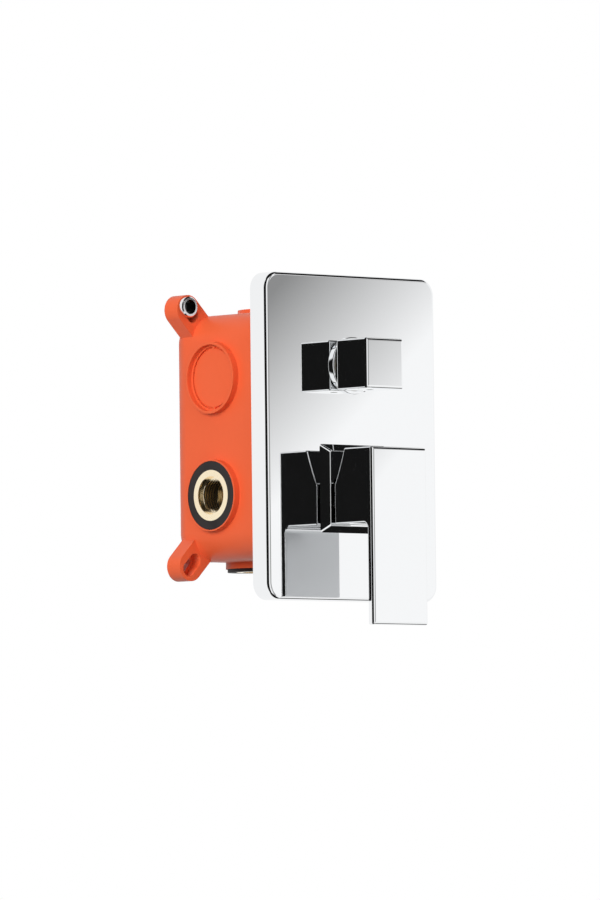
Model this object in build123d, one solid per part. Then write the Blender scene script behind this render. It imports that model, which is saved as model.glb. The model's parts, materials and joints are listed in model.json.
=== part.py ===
from build123d import *
import os

# Concealed shower mixer with a two-way diverter, as it stands in a finished wall.
# Frame: +Z is up, +X is to the right, the front faces -Y.
# The origin lies on the wall box's back face, straight behind the cover plate's centre.
# All sizes are in millimetres.
# A depth is counted forward from the finished wall plane, on which the cover plate lies.
# Heights are counted from the centre of the cover plate.

# Driving dimensions: wall box
BOX_WIDTH = 100.0
BOX_HEIGHT = 137.5
BOX_WALL = 2.6
BOX_RISE = 2.1  # the box's centre is this far above the cover plate's centre
BOX_CORNER = 16.0
BOX_BACK_EDGE = 15.0
WALL_DEPTH = 84.0  # from the finished wall plane back to the box's back face
BOX_FRONT_GAP = 2.0  # the box ends this far short of the finished wall plane

# Driving dimensions: corner lugs and the screws in the upper two
LUG_OUT_X = 2.8  # centre of the lug's round end, past the box's side
LUG_OUT_Z = 2.75  # the same, past the box's top and bottom
LUG_WIDTH = 16.6
LUG_BACK = 74.0  # depth of the lug's rear face behind the wall plane
LUG_THICKNESS = 10.8
LUG_ROOT = 26.0  # length of the lug along the diagonal, run into the box
SLOT_WIDTH = 8.2  # wide front part of each slot
SLOT_THROUGH = 4.7  # narrow part that goes right through
SLOT_FLOOR = 4.3  # thickness of the lug under the wide part
SLOT_OUTWARD = 6.2
SLOT_INWARD = 8.4
WALL_SCREW_SHIFT = 2.0  # the screw sits this far outward along the slot
WALL_SCREW_SHANK = 2.2  # radius
WALL_SCREW_HEAD = 5.8  # radius
WALL_SCREW_HEAD_HEIGHT = 3.0
WALL_SCREW_LENGTH = 10.8  # it ends flush with the lug until the box is screwed to the wall
WALL_SCREW_HOLLOW = 4.0  # radius of the hollow in the screw's head
WALL_SCREW_HOLLOW_DEPTH = 2.0
WALL_SCREW_SOCKET = 5.0  # across flats, in the hollow's floor
WALL_SCREW_SOCKET_DEPTH = 1.8
WALL_SCREW_CHAMFER = 0.6
WALL_SCREW_SEAT = 0.3  # clearance between the screw's head and the lug

# Driving dimensions: bosses of the box
BOSS_RADIUS = 20.0
SIDE_BOSS_HEIGHT = 4.0
TOP_BOSS_HEIGHT = 3.6
BOTTOM_BOSS_HEIGHT = 3.4
BOSS_RIM = 0.95  # thin plastic rim round each gasket
GASKET_SEAT = 4.4  # depth of the gasket's seat in each boss
BOSS_ROOT = 2.0  # the bosses start this far inside the box's faces
HOLE_REACH = 8.0  # the port holes reach this far inside the box's faces
KNOCKOUT_Z = 34.7
KNOCKOUT_RADIUS = 18.5
KNOCKOUT_RECESS = 3.2
KNOCKOUT_GROOVE_RADIUS = 16.85
KNOCKOUT_GROOVE_WIDTH = 1.1
KNOCKOUT_GROOVE_DEPTH = 1.3
KNOCKOUT_BRIDGE = 1.8

# Driving dimensions: pipe sockets of the brass body, G1/2 female threads
PORT_OUTER = 14.15
THREAD_MINOR = 9.315  # radius of the bore in which the thread is cut
THREAD_MOUTH = 10.6
MOUTH_DEPTH = 2.5
THREAD_LENGTH = 11.5
GROOVE_LENGTH = 2.2  # undercut behind the thread
GROOVE_RADIUS = 10.5
WATERWAY = 7.5
INLET_DEPTH = 45.0
INLET_Z = -30.7
INLET_END = 5.0  # half of the metal left between the two inlets
TOP_OUTLET_DEPTH = 51.0
BOTTOM_OUTLET_DEPTH = 63.2
GASKET_PROUD = 2.0  # the bottom gasket stands this far out of its boss
PORT_SETBACK = 0.2  # the side gaskets lie this far under the boss's rim
FIT_GAP = 0.1  # gap between round pieces that sit in each other

# Driving dimensions: brass body
MIXER_Z = -28.5
DIVERTER_Z = 40.0
MIXER_CHAMBER = 23.0
MIXER_NECK = 21.0
MIXER_NECK_FRONT = 16.0
DIVERTER_CHAMBER = 17.0
DIVERTER_NECK = 13.9
DIVERTER_NECK_FRONT = 15.0
CHAMBER_BACK = 57.0
CHAMBER_FRONT = 4.0  # the wide part of each chamber ends this far behind the wall plane
MIXER_FLOOR = 24.0
DIVERTER_FLOOR = 20.0
DUCT_DEPTH = 46.5  # centre of the duct for mixed water
DUCT_OUTER = 8.5
DUCT_BORE = 4.5
DUCT_RISE = 10.0  # the duct starts this far above the mixer's axis
DUCT_TOP = 4.0  # and ends this far under the diverter's axis
BYPASS_BORE = 5.5
BYPASS_OVERRUN = 6.0  # the bypass duct ends this far above the diverter's axis
BYPASS_FOOT = 10.0  # and starts this far above the box's underside
LOW_SOCKET_LENGTH = 22.0  # length of the bottom outlet's socket
PORT_HOLE = 3.0
PORT_CIRCLE = 7.6  # distance of the mixer's two inlet ports from its axis
DIVERTER_PORT_CIRCLE = 6.8
DIVERTER_PORT_HOLE = 2.6
TOP_WAY_START = 5.0  # the top outlet's bore starts this far above the diverter's axis
LEG_RADIUS = 5.0
MIXER_LEG_X = 15.5
MIXER_LEG_DROP = 15.5
DIVERTER_LEG_X = 13.5
DIVERTER_LEG_DROP = 8.0

# Driving dimensions: screws that hold the body in the box
BODY_SCREW_SHANK = 2.0
BODY_SCREW_HEAD = 3.8
BODY_SCREW_HEAD_HEIGHT = 1.6
BODY_SCREW_LENGTH = 14.0
BODY_SCREW_RECESS = 1.8  # depth of the recess for each screw's head in the box's back
PAD_RADIUS = 7.0
PAD_HEIGHT = 3.6
LEG_ROOT = 6.0  # the legs reach this far into the chambers
BODY_SCREW_HEAD_GAP = 0.7
BODY_SCREW_HOLE_GAP = 0.3
SCREW_GAP = 0.05

# Driving dimensions: mixer cartridge
MIXER_HOUSING = 17.5
MIXER_HOUSING_WALL = 1.6
MIXER_HOUSING_BASE = 5.0
MIXER_HOUSING_FRONT = 9.8
HOUSING_LIP = 2.6
HOUSING_LIP_THICKNESS = 1.5
SEAL_HEIGHT = 1.2
SEAL_STAND = 0.2  # the seals hold the housing this far off the floor
SEAL_WALL = 1.4
FIXED_DISC_THICKNESS = 4.5
MOVING_DISC_THICKNESS = 4.5
MOVING_DISC_RADIUS = 11.6
MOVING_DISC_FLAT = 10.0  # half the distance across its flats
DISC_CAVITY = 2.2
DRIVER_THICKNESS = 4.6
DRIVER_SOCKET = 3.3
DISC_SHIFT = 1.65  # the moving disc's centre lies this far above the stem's ball
MIXER_PIVOT = 3.0  # depth of the stem's hinge pin, in front of the wall plane
STEM_ARM = 9.5  # from the hinge pin to the ball that drives the disc
STEM_RADIUS = 4.0
STEM_BALL = 3.0
STEM_SQUARE = 7.6
STEM_FRONT = 38.0
PIN_RADIUS = 1.5
PIN_REACH = 15.0  # half the length of the pin's bore
STEM_WAIST = 2.2  # radius of the stem between its ball and its shank
STEM_SHANK_START = -2.5
STEM_SQUARE_LEAD = 1.0  # the square starts this far behind the lever's block
STEM_SLOT_SHIFT = 0.2
STEM_SLOT_HEIGHT = 14.0
ROTOR_BACK = 3.4  # depth of the rotor's rear face behind the wall plane
ROTOR_GUIDE = 4.6  # length of the rotor's two guide rails
RUNNING_GAP = 0.3
PIN_GAP = 0.05
NUT_WALL = 4.6
MIXER_NUT_LENGTH = 5.0
NUT_SLOT_WIDTH = 3.0
NUT_SLOT_DEPTH = 2.0

# Driving dimensions: diverter cartridge
DIVERTER_HOUSING = 12.0
DIVERTER_HOUSING_WALL = 1.5
DIVERTER_HOUSING_BASE = 4.4
DIVERTER_HOUSING_FRONT = 9.0
DIVERTER_DISC_THICKNESS = 3.0
FLANGE_THICKNESS = 5.0
SPINDLE_SHOULDER = 7.0
SPINDLE_SQUARE_START = 20.0
SPINDLE_RADIUS = 4.5
SPINDLE_SQUARE = 6.0
SPINDLE_FRONT = 35.0
DIVERTER_NUT_LENGTH = 5.5
DIVERTER_NUT_WALL = 6.6

# Driving dimensions: cover plate and its seal
PLATE_WIDTH = 127.0
PLATE_HEIGHT = 181.0
PLATE_DEPTH = 13.2
PLATE_CORNER = 9.5
PLATE_EDGE = 2.0
PLATE_WALL = 1.5
PLATE_HOLE_GAP = 0.9
SEAL_WIDTH = 5.0
SEAL_DEPTH = 3.0
O_RING = 0.75  # radius of the cord of each O-ring
O_RING_SQUEEZE = 0.1

# Driving dimensions: rosette and collar
ROSETTE_BASE = 49.0
ROSETTE_FACE = 41.7
ROSETTE_HEIGHT = 4.5
ROSETTE_LAND = 0.2
ROSETTE_CORNER = 1.6
ROSETTE_HOLE = 13.0
ROSETTE_FIT = 0.15  # clearance of the rosette on the mixer neck
ROSETTE_RING_DEPTH = 1.35  # the rosette's O-ring lies this far in front of the plate
ROSETTE_EDGE = 0.6
COLLAR_RADIUS = 15.9
COLLAR_HEIGHT = 2.0

# Driving dimensions: lever handle
LEVER_WIDTH = 41.3
LEVER_TOP = -6.8
LEVER_BOTTOM = -105.0
LEVER_FRONT = 51.5
LEVER_THICKNESS = 4.5
BLOCK_BOTTOM = -48.5
BLOCK_BACK = 20.5
BLOCK_RELIEF = 8.0  # the block's back curves away by this much at the top
BLOCK_RELIEF_START = -27.0
RELIEF_BULGE = 0.4
LEVER_ROOT_FILLET = 3.5
LEVER_EDGE = 0.9
LEVER_FRONT_EDGE = 1.7
STEM_FIT = 0.15  # clearance of the stem in the lever and the spindle in the knob
LEVER_SCREW_RADIUS = 2.5
LEVER_SCREW_LENGTH = 8.0
LEVER_SCREW_DEPTH = 31.0
SET_SCREW_KEY = 0.55  # the key's radius as a share of the screw's
SET_SCREW_KEY_DEPTH = 2.0
THREAD_GAP = 0.05
LEVER_RECESS = 12.0
LEVER_RECESS_DEPTH = 4.0

# Driving dimensions: diverter knob
KNOB_SIDE = 28.0
KNOB_BACK = 16.0
KNOB_FRONT = 40.7
KNOB_EDGE = 1.1
KNOB_FRONT_EDGE = 1.7
KNOB_SCREW_RADIUS = 2.0
KNOB_SCREW_LENGTH = 6.0
KNOB_SCREW_DEPTH = 28.0

# Sizes that follow from the ones above
box_front = -BOX_FRONT_GAP
box_half_width = BOX_WIDTH / 2
box_half_height = BOX_HEIGHT / 2
lug_x = box_half_width + LUG_OUT_X
lug_z = box_half_height + LUG_OUT_Z
box_top = BOX_RISE + box_half_height
box_drop = box_half_height - BOX_RISE  # height of the plate's centre above the box's underside
side_face = box_half_width + SIDE_BOSS_HEIGHT
top_face = box_top + TOP_BOSS_HEIGHT
bottom_face = box_drop + BOTTOM_BOSS_HEIGHT
port_face = side_face - PORT_SETBACK
top_mouth = top_face - PORT_SETBACK
low_mouth = bottom_face + GASKET_PROUD - PORT_SETBACK
gasket_outer = BOSS_RADIUS - BOSS_RIM
mixer_bore = MIXER_HOUSING + FIT_GAP
diverter_bore = DIVERTER_HOUSING + FIT_GAP
plate_skin = PLATE_DEPTH - PLATE_WALL
mixer_hole = MIXER_NECK + PLATE_HOLE_GAP
diverter_hole = DIVERTER_NECK + PLATE_HOLE_GAP
leg_spots = [
    (-MIXER_LEG_X, MIXER_Z - MIXER_LEG_DROP),
    (MIXER_LEG_X, MIXER_Z - MIXER_LEG_DROP),
    (-DIVERTER_LEG_X, DIVERTER_Z - DIVERTER_LEG_DROP),
    (DIVERTER_LEG_X, DIVERTER_Z - DIVERTER_LEG_DROP),
]
mixer_ports = [(-PORT_CIRCLE, 0.0), (PORT_CIRCLE, 0.0), (0.0, DUCT_RISE)]
diverter_ports = [(DIVERTER_PORT_CIRCLE, 0.0), (0.0, -DIVERTER_PORT_CIRCLE), (-DIVERTER_PORT_CIRCLE, 0.0)]
plate_ring_depth = plate_skin + PLATE_WALL / 2
rosette_bore = MIXER_NECK + ROSETTE_FIT
rosette_ring_depth = PLATE_DEPTH + ROSETTE_RING_DEPTH
mixer_base_front = -MIXER_FLOOR + SEAL_STAND + MIXER_HOUSING_BASE
fixed_disc_front = mixer_base_front + FIXED_DISC_THICKNESS
moving_disc_front = fixed_disc_front + MOVING_DISC_THICKNESS
driver_front = moving_disc_front + DRIVER_THICKNESS
diverter_base_front = -DIVERTER_FLOOR + SEAL_STAND + DIVERTER_HOUSING_BASE
diverter_fixed_front = diverter_base_front + DIVERTER_DISC_THICKNESS
diverter_rotor_front = diverter_fixed_front + DIVERTER_DISC_THICKNESS


def forward(sketch, start, end):
    """Carries a sketch in the plane of the wall forward, from one depth to another."""
    return extrude(Plane.XZ.offset(WALL_DEPTH + start) * sketch, amount=end - start)


def disc(radius, start, end, x=0.0, z=0.0):
    """Round rod along the depth."""
    return forward(Pos(x, z) * Circle(radius), start, end)


def ring(outer, inner, start, end, x=0.0, z=0.0):
    """Round ring along the depth."""
    return forward(Pos(x, z) * (Circle(outer) - Circle(inner)), start, end)


def across(sketch, start, end, depth, z):
    """Carries a sketch along X, centred on a depth and a height."""
    return extrude(Plane.YZ.offset(start) * Pos(-(WALL_DEPTH + depth), z) * sketch, amount=end - start)


def upward(sketch, start, end, x, depth):
    """Carries a sketch along Z, centred on a place and a depth."""
    return extrude(Plane.XY.offset(start) * Pos(x, -(WALL_DEPTH + depth)) * sketch, amount=end - start)


def o_ring(hole, depth, z):
    """O-ring on a brass neck, just inside a hole of the given radius."""
    place = Plane(origin=(0, -(WALL_DEPTH + depth), z), z_dir=(0, -1, 0))
    return place * Torus(hole - O_RING_SQUEEZE - O_RING, O_RING)


def ring_groove(hole, depth, z):
    """Groove in a brass neck for the O-ring that seals a hole of the given radius."""
    bottom = hole - 2 * O_RING - 2 * O_RING_SQUEEZE
    reach = O_RING + O_RING_SQUEEZE
    return ring(hole + 1, bottom, depth - reach, depth + reach, 0, z)


def rounded_box(width, height, corner, edge, start, end):
    """Box round the wall box's centre, with rounded corners and a rounded edge round its rear face."""
    body = forward(Pos(0, BOX_RISE) * RectangleRounded(width, height, corner), start, end)
    rear = body.faces().sort_by(Axis.Y)[-1]
    return fillet(rear.edges(), edge)


def lug_places():
    """The signs of X and Z for the four corners, upper ones first."""
    return [(-1, 1), (1, 1), (-1, -1), (1, -1)]


def lug(side, rise):
    """One corner lug, a bar with a round end along the diagonal."""
    angle = 45 * side * rise
    inward = LUG_ROOT / 2
    step = inward / 2**0.5
    place = Pos(side * (lug_x - step), BOX_RISE + rise * (lug_z - step)) * Rot(0, 0, angle)
    bar = place * SlotCenterToCenter(LUG_ROOT, LUG_WIDTH)
    return forward(bar, -LUG_BACK, -LUG_BACK + LUG_THICKNESS)


def lug_slot(side, rise):
    """The stepped slot through one lug: wide in front, narrow behind."""
    angle = 45 * side * rise
    length = SLOT_OUTWARD + SLOT_INWARD
    step = (SLOT_INWARD - SLOT_OUTWARD) / 2 / 2**0.5
    place = Pos(side * (lug_x - step), BOX_RISE + rise * (lug_z - step)) * Rot(0, 0, angle)
    wide = place * SlotOverall(length, SLOT_WIDTH)
    narrow = place * SlotOverall(length - SLOT_WIDTH + SLOT_THROUGH, SLOT_THROUGH)
    front = -LUG_BACK + LUG_THICKNESS
    return forward(wide, -LUG_BACK + SLOT_FLOOR, front + 1) + forward(narrow, -LUG_BACK - 1, front)


def knockout(side):
    """What is cut from a side boss: a round recess and two arc grooves round its disc."""
    face = side * (side_face + 1)
    floor = side * (side_face - KNOCKOUT_RECESS)
    groove_floor = floor - side * KNOCKOUT_GROOVE_DEPTH
    recess = across(Circle(KNOCKOUT_RADIUS), floor, face, -INLET_DEPTH, KNOCKOUT_Z)
    outer = Circle(KNOCKOUT_GROOVE_RADIUS + KNOCKOUT_GROOVE_WIDTH / 2)
    inner = Circle(KNOCKOUT_GROOVE_RADIUS - KNOCKOUT_GROOVE_WIDTH / 2)
    bridge = Rectangle(KNOCKOUT_BRIDGE, 3 * KNOCKOUT_GROOVE_RADIUS)
    groove = outer - inner - bridge
    return recess + across(groove, groove_floor, floor, -INLET_DEPTH, KNOCKOUT_Z)


def side_boss(side, z):
    """Round boss on one side of the box."""
    return across(Circle(BOSS_RADIUS), side * (box_half_width - BOSS_ROOT), side * side_face, -INLET_DEPTH, z)


def side_port(side):
    """What is cut from a side boss for an inlet: the hole and the gasket's seat."""
    hole = Circle(PORT_OUTER + FIT_GAP)
    seat = Circle(gasket_outer + FIT_GAP)
    start = side * (side_face - GASKET_SEAT)
    cut = across(hole, side * (box_half_width - HOLE_REACH), side * side_face, -INLET_DEPTH, INLET_Z)
    return cut + across(seat, start, side * (side_face + 1), -INLET_DEPTH, INLET_Z)


def end_port(rise, face, depth):
    """What is cut from the top or the bottom boss: the hole and the gasket's seat."""
    hole = Circle(PORT_OUTER + FIT_GAP)
    seat = Circle(gasket_outer + FIT_GAP)
    low = face - BOX_BACK_EDGE - HOLE_REACH
    cut = upward(hole, rise * low, rise * (face + 1), 0, -depth)
    return cut + upward(seat, rise * (face - GASKET_SEAT), rise * (face + 1), 0, -depth)


def box_hollow():
    """The inside of the box, less the pads for the casting's legs."""
    hollow = rounded_box(
        BOX_WIDTH - 2 * BOX_WALL,
        BOX_HEIGHT - 2 * BOX_WALL,
        BOX_CORNER - BOX_WALL,
        BOX_BACK_EDGE - BOX_WALL,
        -WALL_DEPTH + BOX_WALL,
        box_front + 1,
    )
    for x, z in leg_spots:
        hollow = hollow - disc(PAD_RADIUS, -WALL_DEPTH, -WALL_DEPTH + PAD_HEIGHT, x, z)
    return hollow


def box_shell():
    """Moulded wall box, open at the front, with lugs and port bosses."""
    shell = rounded_box(BOX_WIDTH, BOX_HEIGHT, BOX_CORNER, BOX_BACK_EDGE, -WALL_DEPTH, box_front)
    for side, rise in lug_places():
        shell = shell + lug(side, rise)
    for side in (-1, 1):
        shell = shell + side_boss(side, INLET_Z) + side_boss(side, KNOCKOUT_Z)
    shell = shell + upward(Circle(BOSS_RADIUS), box_top - BOSS_ROOT, top_face, 0, -TOP_OUTLET_DEPTH)
    low_root = box_drop - BOX_BACK_EDGE
    shell = shell + upward(Circle(BOSS_RADIUS), -bottom_face, -low_root, 0, -BOTTOM_OUTLET_DEPTH)
    shell = shell - box_hollow()
    for side, rise in lug_places():
        shell = shell - lug_slot(side, rise)
    for side in (-1, 1):
        shell = shell - knockout(side) - side_port(side)
    shell = shell - end_port(1, top_face, TOP_OUTLET_DEPTH) - end_port(-1, bottom_face, BOTTOM_OUTLET_DEPTH)
    back = -WALL_DEPTH - 1
    for x, z in leg_spots:
        recess = disc(BODY_SCREW_HEAD + BODY_SCREW_HEAD_GAP, back, -WALL_DEPTH + BODY_SCREW_RECESS, x, z)
        hole = disc(BODY_SCREW_SHANK + BODY_SCREW_HOLE_GAP, back, -WALL_DEPTH + PAD_HEIGHT + 1, x, z)
        shell = shell - recess - hole
    return shell.clean()


def port_cut(face):
    """Section of a threaded socket along its axis, from the mouth inwards, as radius and distance."""
    steps = [
        (THREAD_MOUTH, MOUTH_DEPTH),
        (THREAD_MINOR, MOUTH_DEPTH + THREAD_LENGTH),
        (GROOVE_RADIUS, MOUTH_DEPTH + THREAD_LENGTH + GROOVE_LENGTH),
    ]
    cuts = []
    start = face + 1
    for radius, distance in steps:
        cuts.append((radius, start, face - distance))
        start = face - distance
    return cuts


def brass_outside():
    """Outer form of the valve casting: chambers, necks, ducts, sockets and legs."""
    low = -BOTTOM_OUTLET_DEPTH
    body = disc(MIXER_CHAMBER, -CHAMBER_BACK, -CHAMBER_FRONT, 0, MIXER_Z)
    body = body + disc(MIXER_NECK, -CHAMBER_FRONT, MIXER_NECK_FRONT, 0, MIXER_Z)
    body = body + disc(DIVERTER_CHAMBER, -CHAMBER_BACK, -CHAMBER_FRONT, 0, DIVERTER_Z)
    body = body + disc(DIVERTER_NECK, -CHAMBER_FRONT, DIVERTER_NECK_FRONT, 0, DIVERTER_Z)
    body = body + upward(Circle(DUCT_OUTER), MIXER_Z, DIVERTER_Z, 0, -DUCT_DEPTH)
    body = body + upward(Circle(DUCT_OUTER), -box_drop + BYPASS_FOOT, DIVERTER_Z + BYPASS_OVERRUN, 0, low)
    body = body + across(Circle(PORT_OUTER), -port_face, port_face, -INLET_DEPTH, INLET_Z)
    body = body + upward(Circle(PORT_OUTER), DIVERTER_Z, top_mouth, 0, -TOP_OUTLET_DEPTH)
    body = body + upward(Circle(PORT_OUTER), -low_mouth, -low_mouth + LOW_SOCKET_LENGTH, 0, low)
    for x, z in leg_spots:
        body = body + disc(LEG_RADIUS, -WALL_DEPTH + PAD_HEIGHT, -CHAMBER_BACK + LEG_ROOT, x, z)
    return body


def cut_sockets(body):
    """Cuts the four threaded sockets."""
    for side in (-1, 1):
        for radius, start, end in port_cut(port_face):
            body = body - across(Circle(radius), side * start, side * end, -INLET_DEPTH, INLET_Z)
    for radius, start, end in port_cut(top_mouth):
        body = body - upward(Circle(radius), end, start, 0, -TOP_OUTLET_DEPTH)
    for radius, start, end in port_cut(low_mouth):
        body = body - upward(Circle(radius), -start, -end, 0, -BOTTOM_OUTLET_DEPTH)
    return body


def cut_waterways(body):
    """Cuts the ways of the water: inlets, mixed duct, bypass and the diverter's two outlets."""
    low = -BOTTOM_OUTLET_DEPTH
    side_way = Circle(DIVERTER_PORT_HOLE)
    top_start = DIVERTER_Z + TOP_WAY_START
    for side in (-1, 1):
        body = body - across(Circle(WATERWAY), side * INLET_END, side * side_face, -INLET_DEPTH, INLET_Z)
    body = body - upward(Circle(WATERWAY), top_start, top_face, 0, -TOP_OUTLET_DEPTH)
    body = body - upward(side_way, DIVERTER_Z, top_start + 1, -DIVERTER_PORT_CIRCLE, -TOP_OUTLET_DEPTH)
    body = body - upward(Circle(BYPASS_BORE), -low_mouth, DIVERTER_Z, 0, low)
    body = body - upward(Circle(DUCT_BORE), MIXER_Z + DUCT_RISE, DIVERTER_Z - DUCT_TOP, 0, -DUCT_DEPTH)
    body = body - across(side_way, 0, DIVERTER_PORT_CIRCLE + DIVERTER_PORT_HOLE, low, DIVERTER_Z)
    for x, rise in mixer_ports:
        back = -DUCT_DEPTH if rise else -INLET_DEPTH
        body = body - disc(PORT_HOLE, back, -MIXER_FLOOR, x, MIXER_Z + rise)
    backs = (low, -DUCT_DEPTH, -TOP_OUTLET_DEPTH)
    for (x, rise), back in zip(diverter_ports, backs):
        body = body - disc(DIVERTER_PORT_HOLE, back, -DIVERTER_FLOOR, x, DIVERTER_Z + rise)
    return body


def brass_body():
    """Valve casting: two chambers, two inlets, two outlets and the ducts between them."""
    body = cut_waterways(cut_sockets(brass_outside()))
    body = body - disc(mixer_bore, -MIXER_FLOOR, MIXER_NECK_FRONT + 1, 0, MIXER_Z)
    body = body - disc(diverter_bore, -DIVERTER_FLOOR, DIVERTER_NECK_FRONT + 1, 0, DIVERTER_Z)
    leg_end = -WALL_DEPTH + PAD_HEIGHT
    for x, z in leg_spots:
        body = body - disc(BODY_SCREW_SHANK + SCREW_GAP, leg_end - 1, leg_end + BODY_SCREW_LENGTH, x, z)
    body = body - ring_groove(mixer_hole, plate_ring_depth, MIXER_Z)
    body = body - ring_groove(diverter_hole, plate_ring_depth, DIVERTER_Z)
    body = body - ring_groove(rosette_bore, rosette_ring_depth, MIXER_Z)
    return body.clean()


def side_gasket(side):
    """Flat rubber ring round a side inlet."""
    inner_face = side_face - GASKET_SEAT
    section = Circle(gasket_outer) - Circle(PORT_OUTER + FIT_GAP)
    return across(section, side * inner_face, side * port_face, -INLET_DEPTH, INLET_Z)


def end_gasket(face, depth, proud, rise):
    """Flat rubber ring round the top or the bottom outlet."""
    section = Circle(gasket_outer) - Circle(PORT_OUTER + FIT_GAP)
    return upward(section, rise * (face - GASKET_SEAT), rise * (face + proud - PORT_SETBACK), 0, -depth)


def body_screws():
    """Four pan-head screws through the back of the box into the casting's legs."""
    screws = []
    seat = -WALL_DEPTH + BODY_SCREW_RECESS
    for x, z in leg_spots:
        head = disc(BODY_SCREW_HEAD, seat - BODY_SCREW_HEAD_HEIGHT, seat, x, z)
        shank = disc(BODY_SCREW_SHANK, seat, seat + BODY_SCREW_LENGTH, x, z)
        screws.append(head + shank)
    return Compound(children=screws)


def wall_screws():
    """Two socket-head screws in the slots of the upper lugs."""
    screws = []
    step = WALL_SCREW_SHIFT / 2**0.5
    face = -LUG_BACK + LUG_THICKNESS + WALL_SCREW_SEAT
    for side in (-1, 1):
        x = side * (lug_x + step)
        z = BOX_RISE + lug_z + step
        front = face + WALL_SCREW_HEAD_HEIGHT
        head = disc(WALL_SCREW_HEAD, face, front, x, z)
        head = chamfer(head.edges().sort_by(Axis.Y)[:1], WALL_SCREW_CHAMFER)
        head = head - disc(WALL_SCREW_HOLLOW, front - WALL_SCREW_HOLLOW_DEPTH, front + 1, x, z)
        shank = disc(WALL_SCREW_SHANK, face - WALL_SCREW_LENGTH, face, x, z)
        floor = front - WALL_SCREW_HOLLOW_DEPTH - WALL_SCREW_SOCKET_DEPTH
        neck = disc(WALL_SCREW_HOLLOW, floor - WALL_SCREW_CHAMFER, face, x, z)
        key = Pos(x, z) * RegularPolygon(WALL_SCREW_SOCKET / 2, 6, major_radius=False)
        screws.append(head + neck + shank - forward(key, floor, front + 1))
    return Compound(children=screws)


def ported(radius, start, end, ports, hole, z):
    """Round plate with port holes."""
    plate = disc(radius, start, end, 0, z)
    for x, rise in ports:
        plate = plate - disc(hole, start - 1, end + 1, x, z + rise)
    return plate


def base_plate(radius, floor, thickness, ports, hole, z):
    """Base of a cartridge, with port holes and a seat for a seal at the back of each."""
    start = -floor + SEAL_STAND
    plate = ported(radius, start, start + thickness, ports, hole, z)
    for x, rise in ports:
        seat = -floor + SEAL_HEIGHT
        plate = plate - disc(hole + SEAL_WALL + FIT_GAP, start - 1, seat, x, z + rise)
    return plate


def base_seals(floor, ports, hole, z):
    """One rubber ring for each port of a cartridge."""
    rings = []
    for x, rise in ports:
        rings.append(ring(hole + SEAL_WALL, hole, -floor, -floor + SEAL_HEIGHT, x, z + rise))
    return Compound(children=rings)


def mixer_housing():
    """Plastic sleeve of the mixer cartridge, with a lip that keeps the rotor in."""
    inner = MIXER_HOUSING - MIXER_HOUSING_WALL
    lip_start = MIXER_HOUSING_FRONT - HOUSING_LIP_THICKNESS
    sleeve = ring(MIXER_HOUSING, inner, mixer_base_front, lip_start, 0, MIXER_Z)
    return sleeve + ring(MIXER_HOUSING, inner - HOUSING_LIP, lip_start, MIXER_HOUSING_FRONT, 0, MIXER_Z)


def disc_outline(radius, flat):
    """Round outline with a flat on each side."""
    return Circle(radius) & Rectangle(2 * flat, 2 * radius)


def mixer_moving_disc():
    """Ceramic disc that slides on the fixed one and joins its ports through a pocket."""
    z = MIXER_Z + DISC_SHIFT
    outline = Pos(0, z) * disc_outline(MOVING_DISC_RADIUS, MOVING_DISC_FLAT)
    plate = forward(outline, fixed_disc_front, moving_disc_front)
    lower = Pos(0, -PORT_CIRCLE) * Rectangle(2 * PORT_CIRCLE, PORT_CIRCLE)
    pocket = Pos(0, z) * (Circle(PORT_CIRCLE) - lower)
    return plate - forward(pocket, fixed_disc_front - 1, fixed_disc_front + DISC_CAVITY)


def disc_driver():
    """Plastic carrier on the moving disc, with a socket for the stem's ball."""
    outline = Pos(0, MIXER_Z + DISC_SHIFT) * disc_outline(MOVING_DISC_RADIUS, MOVING_DISC_FLAT)
    socket = Pos(0, MIXER_Z) * Circle(DRIVER_SOCKET)
    return forward(outline - socket, moving_disc_front, driver_front)


def mixer_rotor():
    """Plastic turret that turns in the housing, carries the stem's pin and guides the disc."""
    radius = MIXER_HOUSING - MIXER_HOUSING_WALL - RUNNING_GAP
    front = MIXER_HOUSING_FRONT - HOUSING_LIP_THICKNESS - RUNNING_GAP
    nose = radius - HOUSING_LIP
    rotor = disc(radius, -ROTOR_BACK, front, 0, MIXER_Z)
    rotor = rotor + disc(nose, front, MIXER_HOUSING_FRONT, 0, MIXER_Z)
    gap = Rectangle(2 * (MOVING_DISC_FLAT + RUNNING_GAP), 2 * radius)
    rails = Pos(0, MIXER_Z) * (Circle(radius) - gap)
    rotor = rotor + forward(rails, -ROTOR_BACK - ROTOR_GUIDE, -ROTOR_BACK)
    slot_width = 2 * (STEM_RADIUS + RUNNING_GAP)
    slot = Pos(0, MIXER_Z - STEM_SLOT_SHIFT) * Rectangle(slot_width, STEM_SLOT_HEIGHT)
    rotor = rotor - forward(slot, -ROTOR_BACK - ROTOR_GUIDE - 1, MIXER_HOUSING_FRONT + 1)
    return rotor - across(Circle(PIN_RADIUS), -PIN_REACH, PIN_REACH, MIXER_PIVOT, MIXER_Z)


def mixer_stem():
    """Steel stem: a ball at the back, a round shank on the pin and a square front."""
    ball_depth = MIXER_PIVOT - STEM_ARM
    ball = Pos(0, -(WALL_DEPTH + ball_depth), MIXER_Z) * Sphere(STEM_BALL)
    stem = ball + disc(STEM_WAIST, ball_depth, STEM_SHANK_START + 1, 0, MIXER_Z)
    stem = stem + disc(STEM_RADIUS, STEM_SHANK_START, BLOCK_BACK, 0, MIXER_Z)
    square = Pos(0, MIXER_Z) * Rectangle(STEM_SQUARE, STEM_SQUARE)
    stem = stem + forward(square, BLOCK_BACK - STEM_SQUARE_LEAD, STEM_FRONT)
    reach = 2 * STEM_RADIUS
    return stem - across(Circle(PIN_RADIUS + PIN_GAP), -reach, reach, MIXER_PIVOT, MIXER_Z)


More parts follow.
